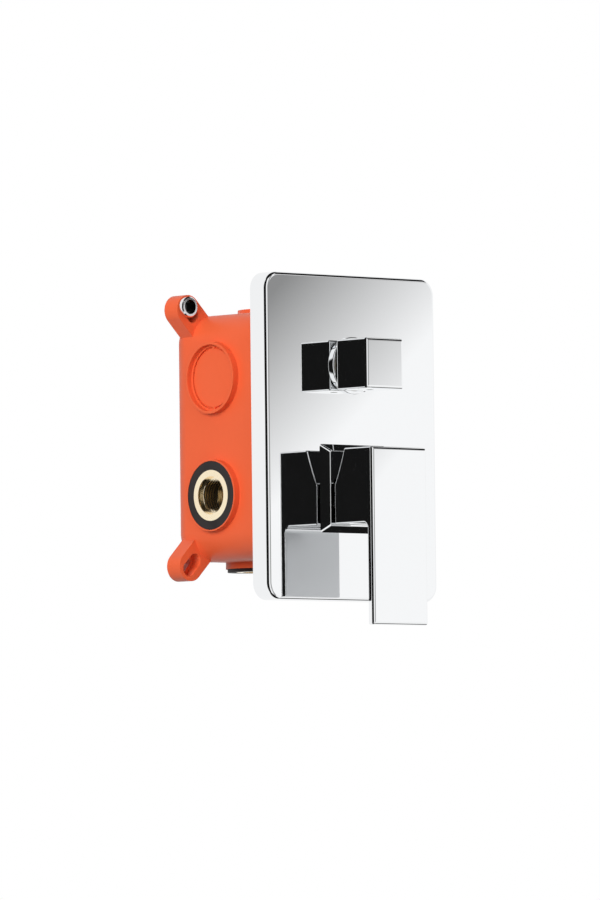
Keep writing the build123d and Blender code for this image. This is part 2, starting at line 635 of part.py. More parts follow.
def stem_pin():
    """Hinge pin of the stem, held in the rotor."""
    reach = PIN_REACH - FIT_GAP
    return across(Circle(PIN_RADIUS - PIN_GAP), -reach, reach, MIXER_PIVOT, MIXER_Z)


def cartridge_nut(outer, wall, start, length, z):
    """Ring nut that holds a cartridge in its chamber, with four slots for a key."""
    nut = ring(outer, outer - wall, start, start + length, 0, z)
    for turn in (0, 90):
        slot = Pos(0, z) * Rot(0, 0, turn) * Rectangle(NUT_SLOT_WIDTH, 3 * outer)
        nut = nut - forward(slot, start + length - NUT_SLOT_DEPTH, start + length + 1)
    return nut


def diverter_housing():
    """Plastic sleeve of the diverter cartridge, closed in front round the spindle."""
    inner = DIVERTER_HOUSING - DIVERTER_HOUSING_WALL
    lid = DIVERTER_HOUSING_FRONT - HOUSING_LIP_THICKNESS
    sleeve = ring(DIVERTER_HOUSING, inner, diverter_base_front, lid, 0, DIVERTER_Z)
    hole = SPINDLE_RADIUS + RUNNING_GAP
    return sleeve + ring(DIVERTER_HOUSING, hole, lid, DIVERTER_HOUSING_FRONT, 0, DIVERTER_Z)


def diverter_rotor_disc():
    """Ceramic disc with a quarter pocket that joins the inlet port to one outlet port."""
    radius = DIVERTER_HOUSING - DIVERTER_HOUSING_WALL - 2 * RUNNING_GAP
    plate = disc(radius, diverter_fixed_front, diverter_rotor_front, 0, DIVERTER_Z)
    outer = Circle(DIVERTER_PORT_CIRCLE + DIVERTER_PORT_HOLE)
    band = outer - Circle(DIVERTER_PORT_CIRCLE - DIVERTER_PORT_HOLE)
    side = 2 * DIVERTER_HOUSING
    quarter = Pos(side / 2 - DIVERTER_PORT_HOLE, DIVERTER_PORT_HOLE - side / 2) * Rectangle(side, side)
    pocket = Pos(0, DIVERTER_Z) * (band & quarter)
    pocket_end = diverter_fixed_front + DIVERTER_DISC_THICKNESS / 2
    return plate - forward(pocket, diverter_fixed_front - 1, pocket_end)


def diverter_spindle():
    """Brass spindle: a flange on the rotor disc, a shoulder, a round shank and a square end."""
    shoulder_end = DIVERTER_HOUSING_FRONT - HOUSING_LIP_THICKNESS - RUNNING_GAP
    flange = DIVERTER_HOUSING - DIVERTER_HOUSING_WALL - 2 * RUNNING_GAP
    spindle = disc(flange, diverter_rotor_front, diverter_rotor_front + FLANGE_THICKNESS, 0, DIVERTER_Z)
    spindle = spindle + disc(SPINDLE_SHOULDER, diverter_rotor_front, shoulder_end, 0, DIVERTER_Z)
    spindle = spindle + disc(SPINDLE_RADIUS, shoulder_end, SPINDLE_SQUARE_START, 0, DIVERTER_Z)
    square = Pos(0, DIVERTER_Z) * Rectangle(SPINDLE_SQUARE, SPINDLE_SQUARE)
    return spindle + forward(square, SPINDLE_SQUARE_START, SPINDLE_FRONT)


def cover_plate():
    """Chrome pan with a rounded front edge and a hole for each brass neck."""
    plate = forward(RectangleRounded(PLATE_WIDTH, PLATE_HEIGHT, PLATE_CORNER), 0, PLATE_DEPTH)
    plate = fillet(plate.faces().sort_by(Axis.Y)[0].edges(), PLATE_EDGE)
    shrink = 2 * PLATE_WALL
    inner = RectangleRounded(PLATE_WIDTH - shrink, PLATE_HEIGHT - shrink, PLATE_CORNER - PLATE_WALL)
    hollow = forward(inner, -1, plate_skin)
    hollow = fillet(hollow.faces().sort_by(Axis.Y)[0].edges(), PLATE_EDGE - PLATE_WALL)
    plate = plate - hollow
    plate = plate - disc(mixer_hole, 0, PLATE_DEPTH + 1, 0, MIXER_Z)
    return plate - disc(diverter_hole, 0, PLATE_DEPTH + 1, 0, DIVERTER_Z)


def cover_plate_seal():
    """Foam strip inside the rim of the cover plate."""
    gap = 2 * (PLATE_WALL + FIT_GAP)
    corner = PLATE_CORNER - PLATE_WALL - FIT_GAP
    outer = RectangleRounded(PLATE_WIDTH - gap, PLATE_HEIGHT - gap, corner)
    shrink = gap + 2 * SEAL_WIDTH
    inner = RectangleRounded(PLATE_WIDTH - shrink, PLATE_HEIGHT - shrink, corner - SEAL_WIDTH)
    return forward(outer - inner, 0, SEAL_DEPTH)


def mixer_rosette():
    """Square flange with bevelled sides that clamps the plate at the mixer neck."""
    base = Pos(0, MIXER_Z) * RectangleRounded(ROSETTE_BASE, ROSETTE_BASE, ROSETTE_CORNER)
    face = Pos(0, MIXER_Z) * RectangleRounded(ROSETTE_FACE, ROSETTE_FACE, ROSETTE_CORNER)
    bevel_start = PLATE_DEPTH + ROSETTE_LAND
    front = PLATE_DEPTH + ROSETTE_HEIGHT
    lower = Plane.XZ.offset(WALL_DEPTH + bevel_start) * base
    upper = Plane.XZ.offset(WALL_DEPTH + front) * face
    flange = forward(base, PLATE_DEPTH, bevel_start) + loft([lower, upper])
    rim = flange.faces().sort_by(Axis.Y)[0].edges()
    flange = fillet(rim, ROSETTE_EDGE)
    flange = flange - disc(rosette_bore, PLATE_DEPTH - 1, MIXER_NECK_FRONT + 2 * FIT_GAP, 0, MIXER_Z)
    return flange - disc(ROSETTE_HOLE, PLATE_DEPTH, front + 1, 0, MIXER_Z)


def diverter_collar():
    """Round collar on the diverter neck."""
    front = PLATE_DEPTH + COLLAR_HEIGHT
    collar = ring(COLLAR_RADIUS, DIVERTER_NECK + PIN_GAP, PLATE_DEPTH, front, 0, DIVERTER_Z)
    rim = collar.edges().filter_by(GeomType.CIRCLE).sort_by(Axis.Y)[:2].sort_by(SortBy.RADIUS)[-1]
    return fillet(rim, COLLAR_HEIGHT / 4)


def lever_section():
    """Side view of the handle as depth and height: block, lever and the relief behind them."""
    lever_back = LEVER_FRONT - LEVER_THICKNESS
    relief_end = BLOCK_BACK + BLOCK_RELIEF
    relief_mid = ((BLOCK_BACK + relief_end) / 2 + RELIEF_BULGE, (BLOCK_RELIEF_START + LEVER_TOP) / 2)
    outline = Polyline(
        (relief_end, LEVER_TOP),
        (LEVER_FRONT, LEVER_TOP),
        (LEVER_FRONT, LEVER_BOTTOM),
        (lever_back, LEVER_BOTTOM),
        (lever_back, BLOCK_BOTTOM),
        (BLOCK_BACK, BLOCK_BOTTOM),
        (BLOCK_BACK, BLOCK_RELIEF_START),
    )
    relief = ThreePointArc((BLOCK_BACK, BLOCK_RELIEF_START), relief_mid, (relief_end, LEVER_TOP))
    section = make_face(outline + relief)
    root = section.vertices().sort_by_distance((lever_back, BLOCK_BOTTOM, 0))[0]
    return fillet(root, LEVER_ROOT_FILLET)


def sideways(section, half):
    """Carries a side view, drawn as depth and height, across both halves of a width."""
    plane = Plane(origin=(half, -WALL_DEPTH, 0), x_dir=(0, -1, 0), z_dir=(-1, 0, 0))
    return extrude(plane * section, amount=2 * half)


def lever_handle():
    """Chrome casting: a block over the stem with a flat lever hanging in front of it."""
    handle = sideways(lever_section(), LEVER_WIDTH / 2)
    handle = fillet(handle.faces().sort_by(Axis.Y)[0].edges(), LEVER_FRONT_EDGE)
    limit = -(WALL_DEPTH + LEVER_FRONT - LEVER_FRONT_EDGE)
    behind = handle.edges().filter_by(lambda edge: edge.center().Y > limit)
    handle = fillet(behind, LEVER_EDGE)
    handle = handle - disc(LEVER_RECESS, BLOCK_BACK - 1, BLOCK_BACK + LEVER_RECESS_DEPTH, 0, MIXER_Z)
    side = STEM_SQUARE + 2 * STEM_FIT
    socket = Pos(0, MIXER_Z) * Rectangle(side, side)
    handle = handle - forward(socket, BLOCK_BACK, STEM_FRONT + STEM_FIT)
    hole = Circle(LEVER_SCREW_RADIUS + THREAD_GAP)
    return handle - upward(hole, BLOCK_BOTTOM - 1, MIXER_Z, 0, LEVER_SCREW_DEPTH)


def diverter_knob():
    """Square chrome knob with a stepped socket for the spindle."""
    square = Pos(0, DIVERTER_Z) * Rectangle(KNOB_SIDE, KNOB_SIDE)
    knob = forward(square, KNOB_BACK, KNOB_FRONT)
    knob = fillet(knob.edges().filter_by(Axis.Y), KNOB_EDGE)
    knob = fillet(knob.faces().sort_by(Axis.Y)[0].edges(), KNOB_FRONT_EDGE)
    knob = fillet(knob.faces().sort_by(Axis.Y)[-1].edges(), KNOB_EDGE)
    bore_end = SPINDLE_SQUARE_START + STEM_FIT
    knob = knob - disc(SPINDLE_RADIUS + STEM_FIT, KNOB_BACK - 1, bore_end, 0, DIVERTER_Z)
    side = SPINDLE_SQUARE + 2 * STEM_FIT
    socket = Pos(0, DIVERTER_Z) * Rectangle(side, side)
    knob = knob - forward(socket, SPINDLE_SQUARE_START, SPINDLE_FRONT + STEM_FIT)
    hole = Circle(KNOB_SCREW_RADIUS + THREAD_GAP)
    return knob - upward(hole, DIVERTER_Z - KNOB_SIDE, DIVERTER_Z, 0, KNOB_SCREW_DEPTH)


def set_screw(radius, length, top, depth):
    """Grub screw that stands upright under a square shank, with a key socket below."""
    screw = upward(Circle(radius), top - length, top, 0, depth)
    key = RegularPolygon(radius * SET_SCREW_KEY, 6)
    return screw - upward(key, top - length - 1, top - length + SET_SCREW_KEY_DEPTH, 0, depth)


def lever_set_screw():
    """Grub screw that holds the lever on the stem."""
    top = MIXER_Z - STEM_SQUARE / 2 - THREAD_GAP
    return set_screw(LEVER_SCREW_RADIUS, LEVER_SCREW_LENGTH, top, LEVER_SCREW_DEPTH)


def knob_set_screw():
    """Grub screw that holds the knob on the spindle."""
    top = DIVERTER_Z - SPINDLE_SQUARE / 2 - THREAD_GAP
    return set_screw(KNOB_SCREW_RADIUS, KNOB_SCREW_LENGTH, top, KNOB_SCREW_DEPTH)


def mixer_base():
    """Base plate of the mixer cartridge."""
    return base_plate(MIXER_HOUSING, MIXER_FLOOR, MIXER_HOUSING_BASE, mixer_ports, PORT_HOLE, MIXER_Z)


def diverter_base():
    """Base plate of the diverter cartridge."""
    sizes = (DIVERTER_HOUSING, DIVERTER_FLOOR, DIVERTER_HOUSING_BASE)
    return base_plate(*sizes, diverter_ports, DIVERTER_PORT_HOLE, DIVERTER_Z)


def mixer_fixed_disc():
    """Ceramic disc that lies still on the base of the mixer cartridge."""
    radius = MIXER_HOUSING - MIXER_HOUSING_WALL - FIT_GAP
    return ported(radius, mixer_base_front, fixed_disc_front, mixer_ports, PORT_HOLE, MIXER_Z)


def diverter_fixed_disc():
    """Ceramic disc that lies still on the base of the diverter cartridge."""
    radius = DIVERTER_HOUSING - DIVERTER_HOUSING_WALL - FIT_GAP
    faces = (diverter_base_front, diverter_fixed_front)
    return ported(radius, *faces, diverter_ports, DIVERTER_PORT_HOLE, DIVERTER_Z)


nodes = {
    "box_shell": box_shell(),
    "brass_body": brass_body(),
    "inlet_gasket_left": side_gasket(-1),
    "inlet_gasket_right": side_gasket(1),
    "outlet_gasket_top": end_gasket(top_face, TOP_OUTLET_DEPTH, 0, 1),
    "outlet_gasket_bottom": end_gasket(bottom_face, BOTTOM_OUTLET_DEPTH, GASKET_PROUD, -1),
    "body_screws": body_screws(),
    "wall_screws": wall_screws(),
    "mixer_base": mixer_base(),
    "mixer_base_seals": base_seals(MIXER_FLOOR, mixer_ports, PORT_HOLE, MIXER_Z),
    "mixer_housing": mixer_housing(),
    "mixer_fixed_disc": mixer_fixed_disc(),
    "mixer_moving_disc": mixer_moving_disc(),
    "disc_driver": disc_driver(),
    "mixer_rotor": mixer_rotor(),
    "mixer_stem": mixer_stem(),
    "stem_pin": stem_pin(),
    "mixer_nut": cartridge_nut(MIXER_HOUSING, NUT_WALL, MIXER_HOUSING_FRONT, MIXER_NUT_LENGTH, MIXER_Z),
    "diverter_base": diverter_base(),
    "diverter_base_seals": base_seals(DIVERTER_FLOOR, diverter_ports, DIVERTER_PORT_HOLE, DIVERTER_Z),
    "diverter_housing": diverter_housing(),
    "diverter_fixed_disc": diverter_fixed_disc(),
    "diverter_rotor_disc": diverter_rotor_disc(),
    "diverter_spindle": diverter_spindle(),
    "diverter_nut": cartridge_nut(
        DIVERTER_HOUSING, DIVERTER_NUT_WALL, DIVERTER_HOUSING_FRONT, DIVERTER_NUT_LENGTH, DIVERTER_Z
    ),
    "cover_plate": cover_plate(),
    "cover_plate_seal": cover_plate_seal(),
    "mixer_neck_o_ring": o_ring(mixer_hole, plate_ring_depth, MIXER_Z),
    "diverter_neck_o_ring": o_ring(diverter_hole, plate_ring_depth, DIVERTER_Z),
    "mixer_rosette": mixer_rosette(),
    "rosette_o_ring": o_ring(rosette_bore, rosette_ring_depth, MIXER_Z),
    "diverter_collar": diverter_collar(),
    "lever_handle": lever_handle(),
    "lever_set_screw": lever_set_screw(),
    "diverter_knob": diverter_knob(),
    "knob_set_screw": knob_set_screw(),
}

os.makedirs("parts", exist_ok=True)
for name, solid in nodes.items():
    export_step(solid, f"parts/{name}.step")
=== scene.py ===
"""Finishes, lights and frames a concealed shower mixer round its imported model.

Depths are counted forward from the finished wall plane, heights from the centre of the
cover plate, both in millimetres; meshes are stored in metres in the model's own frame.
"""

import json
import logging
import math
from dataclasses import dataclass
from enum import Enum

import bmesh
import bpy
import numpy as np
from mathutils import Matrix, Vector

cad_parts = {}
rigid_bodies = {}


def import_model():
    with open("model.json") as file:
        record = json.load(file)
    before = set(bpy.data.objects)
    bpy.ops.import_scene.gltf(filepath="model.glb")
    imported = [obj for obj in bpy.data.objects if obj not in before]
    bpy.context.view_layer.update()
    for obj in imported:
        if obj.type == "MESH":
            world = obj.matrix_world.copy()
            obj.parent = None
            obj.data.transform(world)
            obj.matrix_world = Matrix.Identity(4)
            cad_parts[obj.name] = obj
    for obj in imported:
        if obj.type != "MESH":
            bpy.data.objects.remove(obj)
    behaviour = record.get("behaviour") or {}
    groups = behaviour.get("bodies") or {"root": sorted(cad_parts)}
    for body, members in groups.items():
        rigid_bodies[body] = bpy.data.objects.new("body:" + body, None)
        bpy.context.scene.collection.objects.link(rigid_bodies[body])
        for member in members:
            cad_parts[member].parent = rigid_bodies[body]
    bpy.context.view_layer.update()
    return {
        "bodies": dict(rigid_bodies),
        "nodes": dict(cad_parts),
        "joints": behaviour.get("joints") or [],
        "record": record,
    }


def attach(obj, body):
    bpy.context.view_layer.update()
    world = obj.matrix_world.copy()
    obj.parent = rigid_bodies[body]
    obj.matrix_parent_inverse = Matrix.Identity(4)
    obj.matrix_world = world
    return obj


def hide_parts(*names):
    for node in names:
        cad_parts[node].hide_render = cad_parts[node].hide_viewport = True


LOG = logging.getLogger("shower_mixer")
MM = 0.001

# Depths in millimetres: from the box's back to the wall plane, then forward from that plane.
WALL_DEPTH = 84.0
PLATE_FRONT = 13.2
INLET_DEPTH = -45.0

# Heights in millimetres from the centre of the cover plate.
MIXER_Z = -28.5
INLET_Z = -30.7
LEVER_ROOT_Z = -49.0
DIVERTER_Z = 40.0

# Limits for finishing a mesh: angle in degrees, distances in metres.
SHARP_DEGREES = 35.0
MERGE_DISTANCE = 1e-6
DEGENERATE_DISTANCE = 1e-7
FLAT_FACE_WEIGHT = 90


class Body(Enum):
    """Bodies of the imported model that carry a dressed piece."""

    VALVE = "valve"
    LEVER = "lever"
    DIVERTER = "diverter"


class Along(Enum):
    """Axis along which a turned piece lies, and the way it points."""

    FRONT = "front"
    LEFT = "left"
    RIGHT = "right"
    UP = "up"
    DOWN = "down"


AXIS_FRAMES = {
    Along.FRONT: ((0, -1, 0), (1, 0, 0), (0, 0, 1)),
    Along.LEFT: ((-1, 0, 0), (0, 1, 0), (0, 0, 1)),
    Along.RIGHT: ((1, 0, 0), (0, 1, 0), (0, 0, 1)),
    Along.UP: ((0, 0, 1), (1, 0, 0), (0, 1, 0)),
    Along.DOWN: ((0, 0, -1), (1, 0, 0), (0, 1, 0)),
}


def place(x: np.ndarray, depth: np.ndarray, height: np.ndarray) -> np.ndarray:
    """Turns widths, depths and heights in millimetres into points in metres.

    Args:
        x: Distances to the right of the centre.
        depth: Distances in front of the finished wall plane.
        height: Heights above the cover plate's centre.

    Returns:
        An array of points, one axis longer than the widest input.
    """
    x, depth, height = np.broadcast_arrays(x, depth, height)
    return np.stack([x, -(depth + WALL_DEPTH), height], axis=-1) * MM


def arc(centre: tuple[float, float], radius: float, start: float, end: float, count: int) -> np.ndarray:
    """Points on a circle, centre plus radius times cosine and sine of evenly spaced angles.

    Args:
        centre: Centre of the circle.
        radius: Its radius.
        start: First angle in degrees.
        end: Last angle in degrees.
        count: Number of points.

    Returns:
        An array of count rows of two numbers.
    """
    angle = np.radians(np.linspace(start, end, count))
    return np.stack([centre[0] + radius * np.cos(angle), centre[1] + radius * np.sin(angle)], axis=-1)


def grid_object(
    name: str, points: np.ndarray, ring_u: bool, ring_v: bool, caps: bool = False
) -> bpy.types.Object:
    """Makes a mesh object from a grid of points, a function of two parameters.

    Args:
        name: Name of the piece.
        points: Array of u by v by three coordinates in metres.
        ring_u: Whether the last row joins the first.
        ring_v: Whether the last column joins the first.
        caps: Whether the first and last rows are closed by a flat face each.

    Returns:
        The object, linked to the scene.
    """
    rows, columns = points.shape[:2]
    index = np.arange(rows * columns).reshape(rows, columns)
    u_from = np.arange(rows if ring_u else rows - 1)
    v_from = np.arange(columns if ring_v else columns - 1)
    u_to = (u_from + 1) % rows
    v_to = (v_from + 1) % columns
    quads = np.stack(
        [
            index[np.ix_(u_from, v_from)],
            index[np.ix_(u_from, v_to)],
            index[np.ix_(u_to, v_to)],
            index[np.ix_(u_to, v_from)],
        ],
        axis=-1,
    ).reshape(-1, 4)
    faces = quads.tolist()
    if caps:
        faces.append(index[0].tolist())
        faces.append(index[-1][::-1].tolist())
    mesh = bpy.data.meshes.new(name)
    mesh.from_pydata(points.reshape(-1, 3).tolist(), [], faces)
    return link_clean(name, mesh)


def link_clean(name: str, mesh: bpy.types.Mesh) -> bpy.types.Object:
    """Merges a mesh's doubles, points its faces outwards and smooths all but its sharp edges.

    Args:
        name: Name of the piece.
        mesh: Mesh to finish.

    Returns:
        The object, linked to the scene.
    """
    work = bmesh.new()
    work.from_mesh(mesh)
    bmesh.ops.remove_doubles(work, verts=work.verts, dist=MERGE_DISTANCE)
    bmesh.ops.dissolve_degenerate(work, edges=work.edges, dist=DEGENERATE_DISTANCE)
    bmesh.ops.recalc_face_normals(work, faces=work.faces)
    work.to_mesh(mesh)
    work.free()
    mesh.shade_smooth()
    mesh.set_sharp_from_angle(angle=math.radians(SHARP_DEGREES))
    piece = bpy.data.objects.new(name, mesh)
    bpy.context.scene.collection.objects.link(piece)
    return piece


def applied(piece: bpy.types.Object) -> bpy.types.Object:
    """Replaces a piece's mesh by the result of its modifiers, and removes them."""
    graph = bpy.context.evaluated_depsgraph_get()
    result = bpy.data.meshes.new_from_object(piece.evaluated_get(graph))
    piece.modifiers.clear()
    piece.data = result
    return piece


def even_normals(piece: bpy.types.Object) -> bpy.types.Object:
    """Lets large flat faces keep their own direction beside narrow rounded edges."""
    piece.data.set_sharp_from_angle(angle=math.radians(SHARP_DEGREES))
    modifier = piece.modifiers.new("even_normals", "WEIGHTED_NORMAL")
    modifier.keep_sharp = True
    modifier.weight = FLAT_FACE_WEIGHT
    return piece


def round_edges(
    piece: bpy.types.Object, width: float, front_width: float, front: float, segments: int = 5
) -> bpy.types.Object:
    """Rounds a piece's sharp edges, those of its front face by a width of their own.

    Args:
        piece: Piece with sharp edges.
        width: Radius of the rounding in millimetres.
        front_width: Radius at the front face.
        front: Depth of the front face.
        segments: Number of faces across a rounding.

    Returns:
        The same piece, with its mesh changed.
    """
    work = bmesh.new()
    work.from_mesh(piece.data)
    weight = work.edges.layers.float.new("bevel_weight_edge")
    margin = 0.01
    limit = place(0.0, front - margin, 0.0)[1]
    for edge in work.edges:
        if edge.calc_face_angle(0.0) > math.radians(SHARP_DEGREES):
            at_front = all(vert.co.y < limit for vert in edge.verts)
            edge[weight] = 1.0 if at_front else width / front_width
    work.to_mesh(piece.data)
    work.free()
    modifier = piece.modifiers.new("round_edges", "BEVEL")
    modifier.width = front_width * MM
    modifier.segments = segments
    modifier.limit_method = "WEIGHT"
    return applied(piece)


def cut_away(piece: bpy.types.Object, cutters: list[bpy.types.Object]) -> bpy.types.Object:
    """Cuts closed shapes out of a piece and removes them.

    Args:
        piece: Piece to cut.
        cutters: Closed shapes.

    Returns:
        The same piece, with its mesh changed.
    """
    for cutter in cutters:
        modifier = piece.modifiers.new("cut", "BOOLEAN")
        modifier.operation = "DIFFERENCE"
        modifier.solver = "EXACT"
        modifier.object = cutter
        applied(piece)
        bpy.data.objects.remove(cutter)
    piece.data.shade_smooth()
    return piece


def turned(
    name: str,
    profile: np.ndarray,
    along: Along,
    centre: tuple[float, float, float],
    segments: int = 96,
    closed: bool = True,
    wobble: np.ndarray | None = None,
) -> bpy.types.Object:
    """Turns a profile about an axis: radius times cosine and sine of the angle, plus its distance.

    Args:
        name: Name of the piece.
        profile: Rows of radius and distance along the axis, in millimetres.
        along: Axis of the piece.
        centre: Place of distance zero, as width, depth and height.
        segments: Number of steps round the axis.
        closed: Whether the profile is a loop. An open one starts and ends on the axis.
        wobble: Factors on the radius, one row for each profile point and one column for each step.

    Returns:
        The turned piece.
    """
    angle = np.linspace(0.0, 2.0 * math.pi, segments, endpoint=False)
    radius = profile[:, :1] * np.ones((1, segments))
    if wobble is not None:
        radius = radius * wobble
    way, right, up = (np.array(v, float) for v in AXIS_FRAMES[along])
    ring = np.cos(angle)[:, None] * right + np.sin(angle)[:, None] * up
    origin = place(*centre) / MM
    points = origin + radius[..., None] * ring[None] + profile[:, 1, None, None] * way
    return grid_object(name, points * MM, closed, True)


def drill(
    name: str, radius: float, start: float, end: float, along: Along, centre: tuple, segments: int
) -> bpy.types.Object:
    """Makes a round closed cutter.

    Args:
        name: Name of the cutter.
        radius: Radius of the hole that it cuts.
        start: Distance from the centre to its first end.
        end: Distance from the centre to its other end.
        along: Axis of the hole.
        centre: Place of distance zero, as width, depth and height.
        segments: Number of steps round the axis.

    Returns:
        The cutter.
    """
    profile = np.array([(0.0, start), (radius, start), (radius, end), (0.0, end)])
    return turned(name, profile, along, centre, segments, closed=False)


def block(name: str, low: tuple[float, float, float], high: tuple[float, float, float]) -> bpy.types.Object:
    """Straight block between two corners given as width, depth and height."""
    x = np.array([low[0], high[0], high[0], low[0]])
    depth = np.array([low[1], low[1], high[1], high[1]])
    height = np.array([[low[2]], [high[2]]])
    return grid_object(name, place(x[None], depth[None], height), False, True, caps=True)


@dataclass(frozen=True)
class Rounded:
    """Rounded rectangle seen from the front."""

    SMALLEST_CORNER = 0.05

    width: float
    height: float
    corner: float
    steps: int = 14
    same_corner: bool = False

    def loop(self, inset: float) -> tuple[np.ndarray, np.ndarray]:
        """Outline moved inwards: four corner arcs about the same centres, or of the same radius.

        Args:
            inset: Distance inwards in millimetres.

        Returns:
            Widths and heights of the points.
        """
        radius = self.corner if self.same_corner else max(self.corner - inset, self.SMALLEST_CORNER)
        half_x = self.width / 2 - self.corner
        half_z = self.height / 2 - self.corner
        shift = self.corner - inset - radius
        signs = ((1, 1), (-1, 1), (-1, -1), (1, -1))
        arcs = [
            arc((sx * (half_x + shift), sz * (half_z + shift)), radius, 90 * k, 90 * k + 90, self.steps)
            for k, (sx, sz) in enumerate(signs)
        ]
        points = np.concatenate(arcs)
        return points[:, 0], points[:, 1]


class Nodes:
    """Small helper that adds shader nodes to a tree and links them."""

    def __init__(self, tree: bpy.types.NodeTree) -> None:
        """Keeps the tree.

        Args:
            tree: Shader node tree of a material, a world or a group.
        """
        self.tree = tree

    def add(self, kind: str, values: dict | None = None, **settings: object) -> bpy.types.Node:
        """Adds a node.

        Args:
            kind: Node type without its ShaderNode prefix.
            values: Input values or sockets to link, by socket name or number.
            **settings: Properties of the node itself.

        Returns:
            The new node.
        """
        node = self.tree.nodes.new("ShaderNode" + kind)
        for key, value in settings.items():
            setattr(node, key, value)
        return self._fill(node, values or {})

    def group(self, tree: bpy.types.NodeTree, values: dict) -> bpy.types.Node:
        """Adds a group node and sets or links its inputs."""
        node = self.tree.nodes.new("ShaderNodeGroup")
        node.node_tree = tree
        return self._fill(node, values)

    def _fill(self, node: bpy.types.Node, values: dict) -> bpy.types.Node:
        """Sets a node's inputs, or links them where the value is a socket."""
        for key, value in values.items():
            if isinstance(value, bpy.types.NodeSocket):
                self.tree.links.new(value, node.inputs[key])
            else:
                node.inputs[key].default_value = value
        return node

    def math(
        self, operation: str, first: object, second: object = 0.0, clamp: bool = False
    ) -> bpy.types.NodeSocket:
        """Adds a math node and returns its output."""
        node = self.add("Math", {0: first, 1: second}, operation=operation, use_clamp=clamp)
        return node.outputs[0]

    def smooth_step(
        self, value: object, low: float, high: float, first: float = 0.0, last: float = 1.0
    ) -> bpy.types.NodeSocket:
        """Adds a soft step from one value at a low input to another at a high input."""
        values = {"Value": value, "From Min": low, "From Max": high, "To Min": first, "To Max": last}
        node = self.add("MapRange", values, interpolation_type="SMOOTHSTEP")
        return node.outputs[0]


def new_group(name: str, inputs: dict[str, tuple[str, object]], outputs: dict[str, str]) -> tuple:
    """Starts a shader node group.

    Args:
        name: Name of the group.
        inputs: Socket type and default value by input name.
        outputs: Socket type by output name.

    Returns:
        The tree, its input node and its output node.
    """
    tree = bpy.data.node_groups.new(name, "ShaderNodeTree")
    for key, (kind, value) in inputs.items():
        socket = tree.interface.new_socket(name=key, in_out="INPUT", socket_type=kind)
        socket.default_value = value
    for key, kind in outputs.items():
        tree.interface.new_socket(name=key, in_out="OUTPUT", socket_type=kind)
    return tree, tree.nodes.new("NodeGroupInput"), tree.nodes.new("NodeGroupOutput")


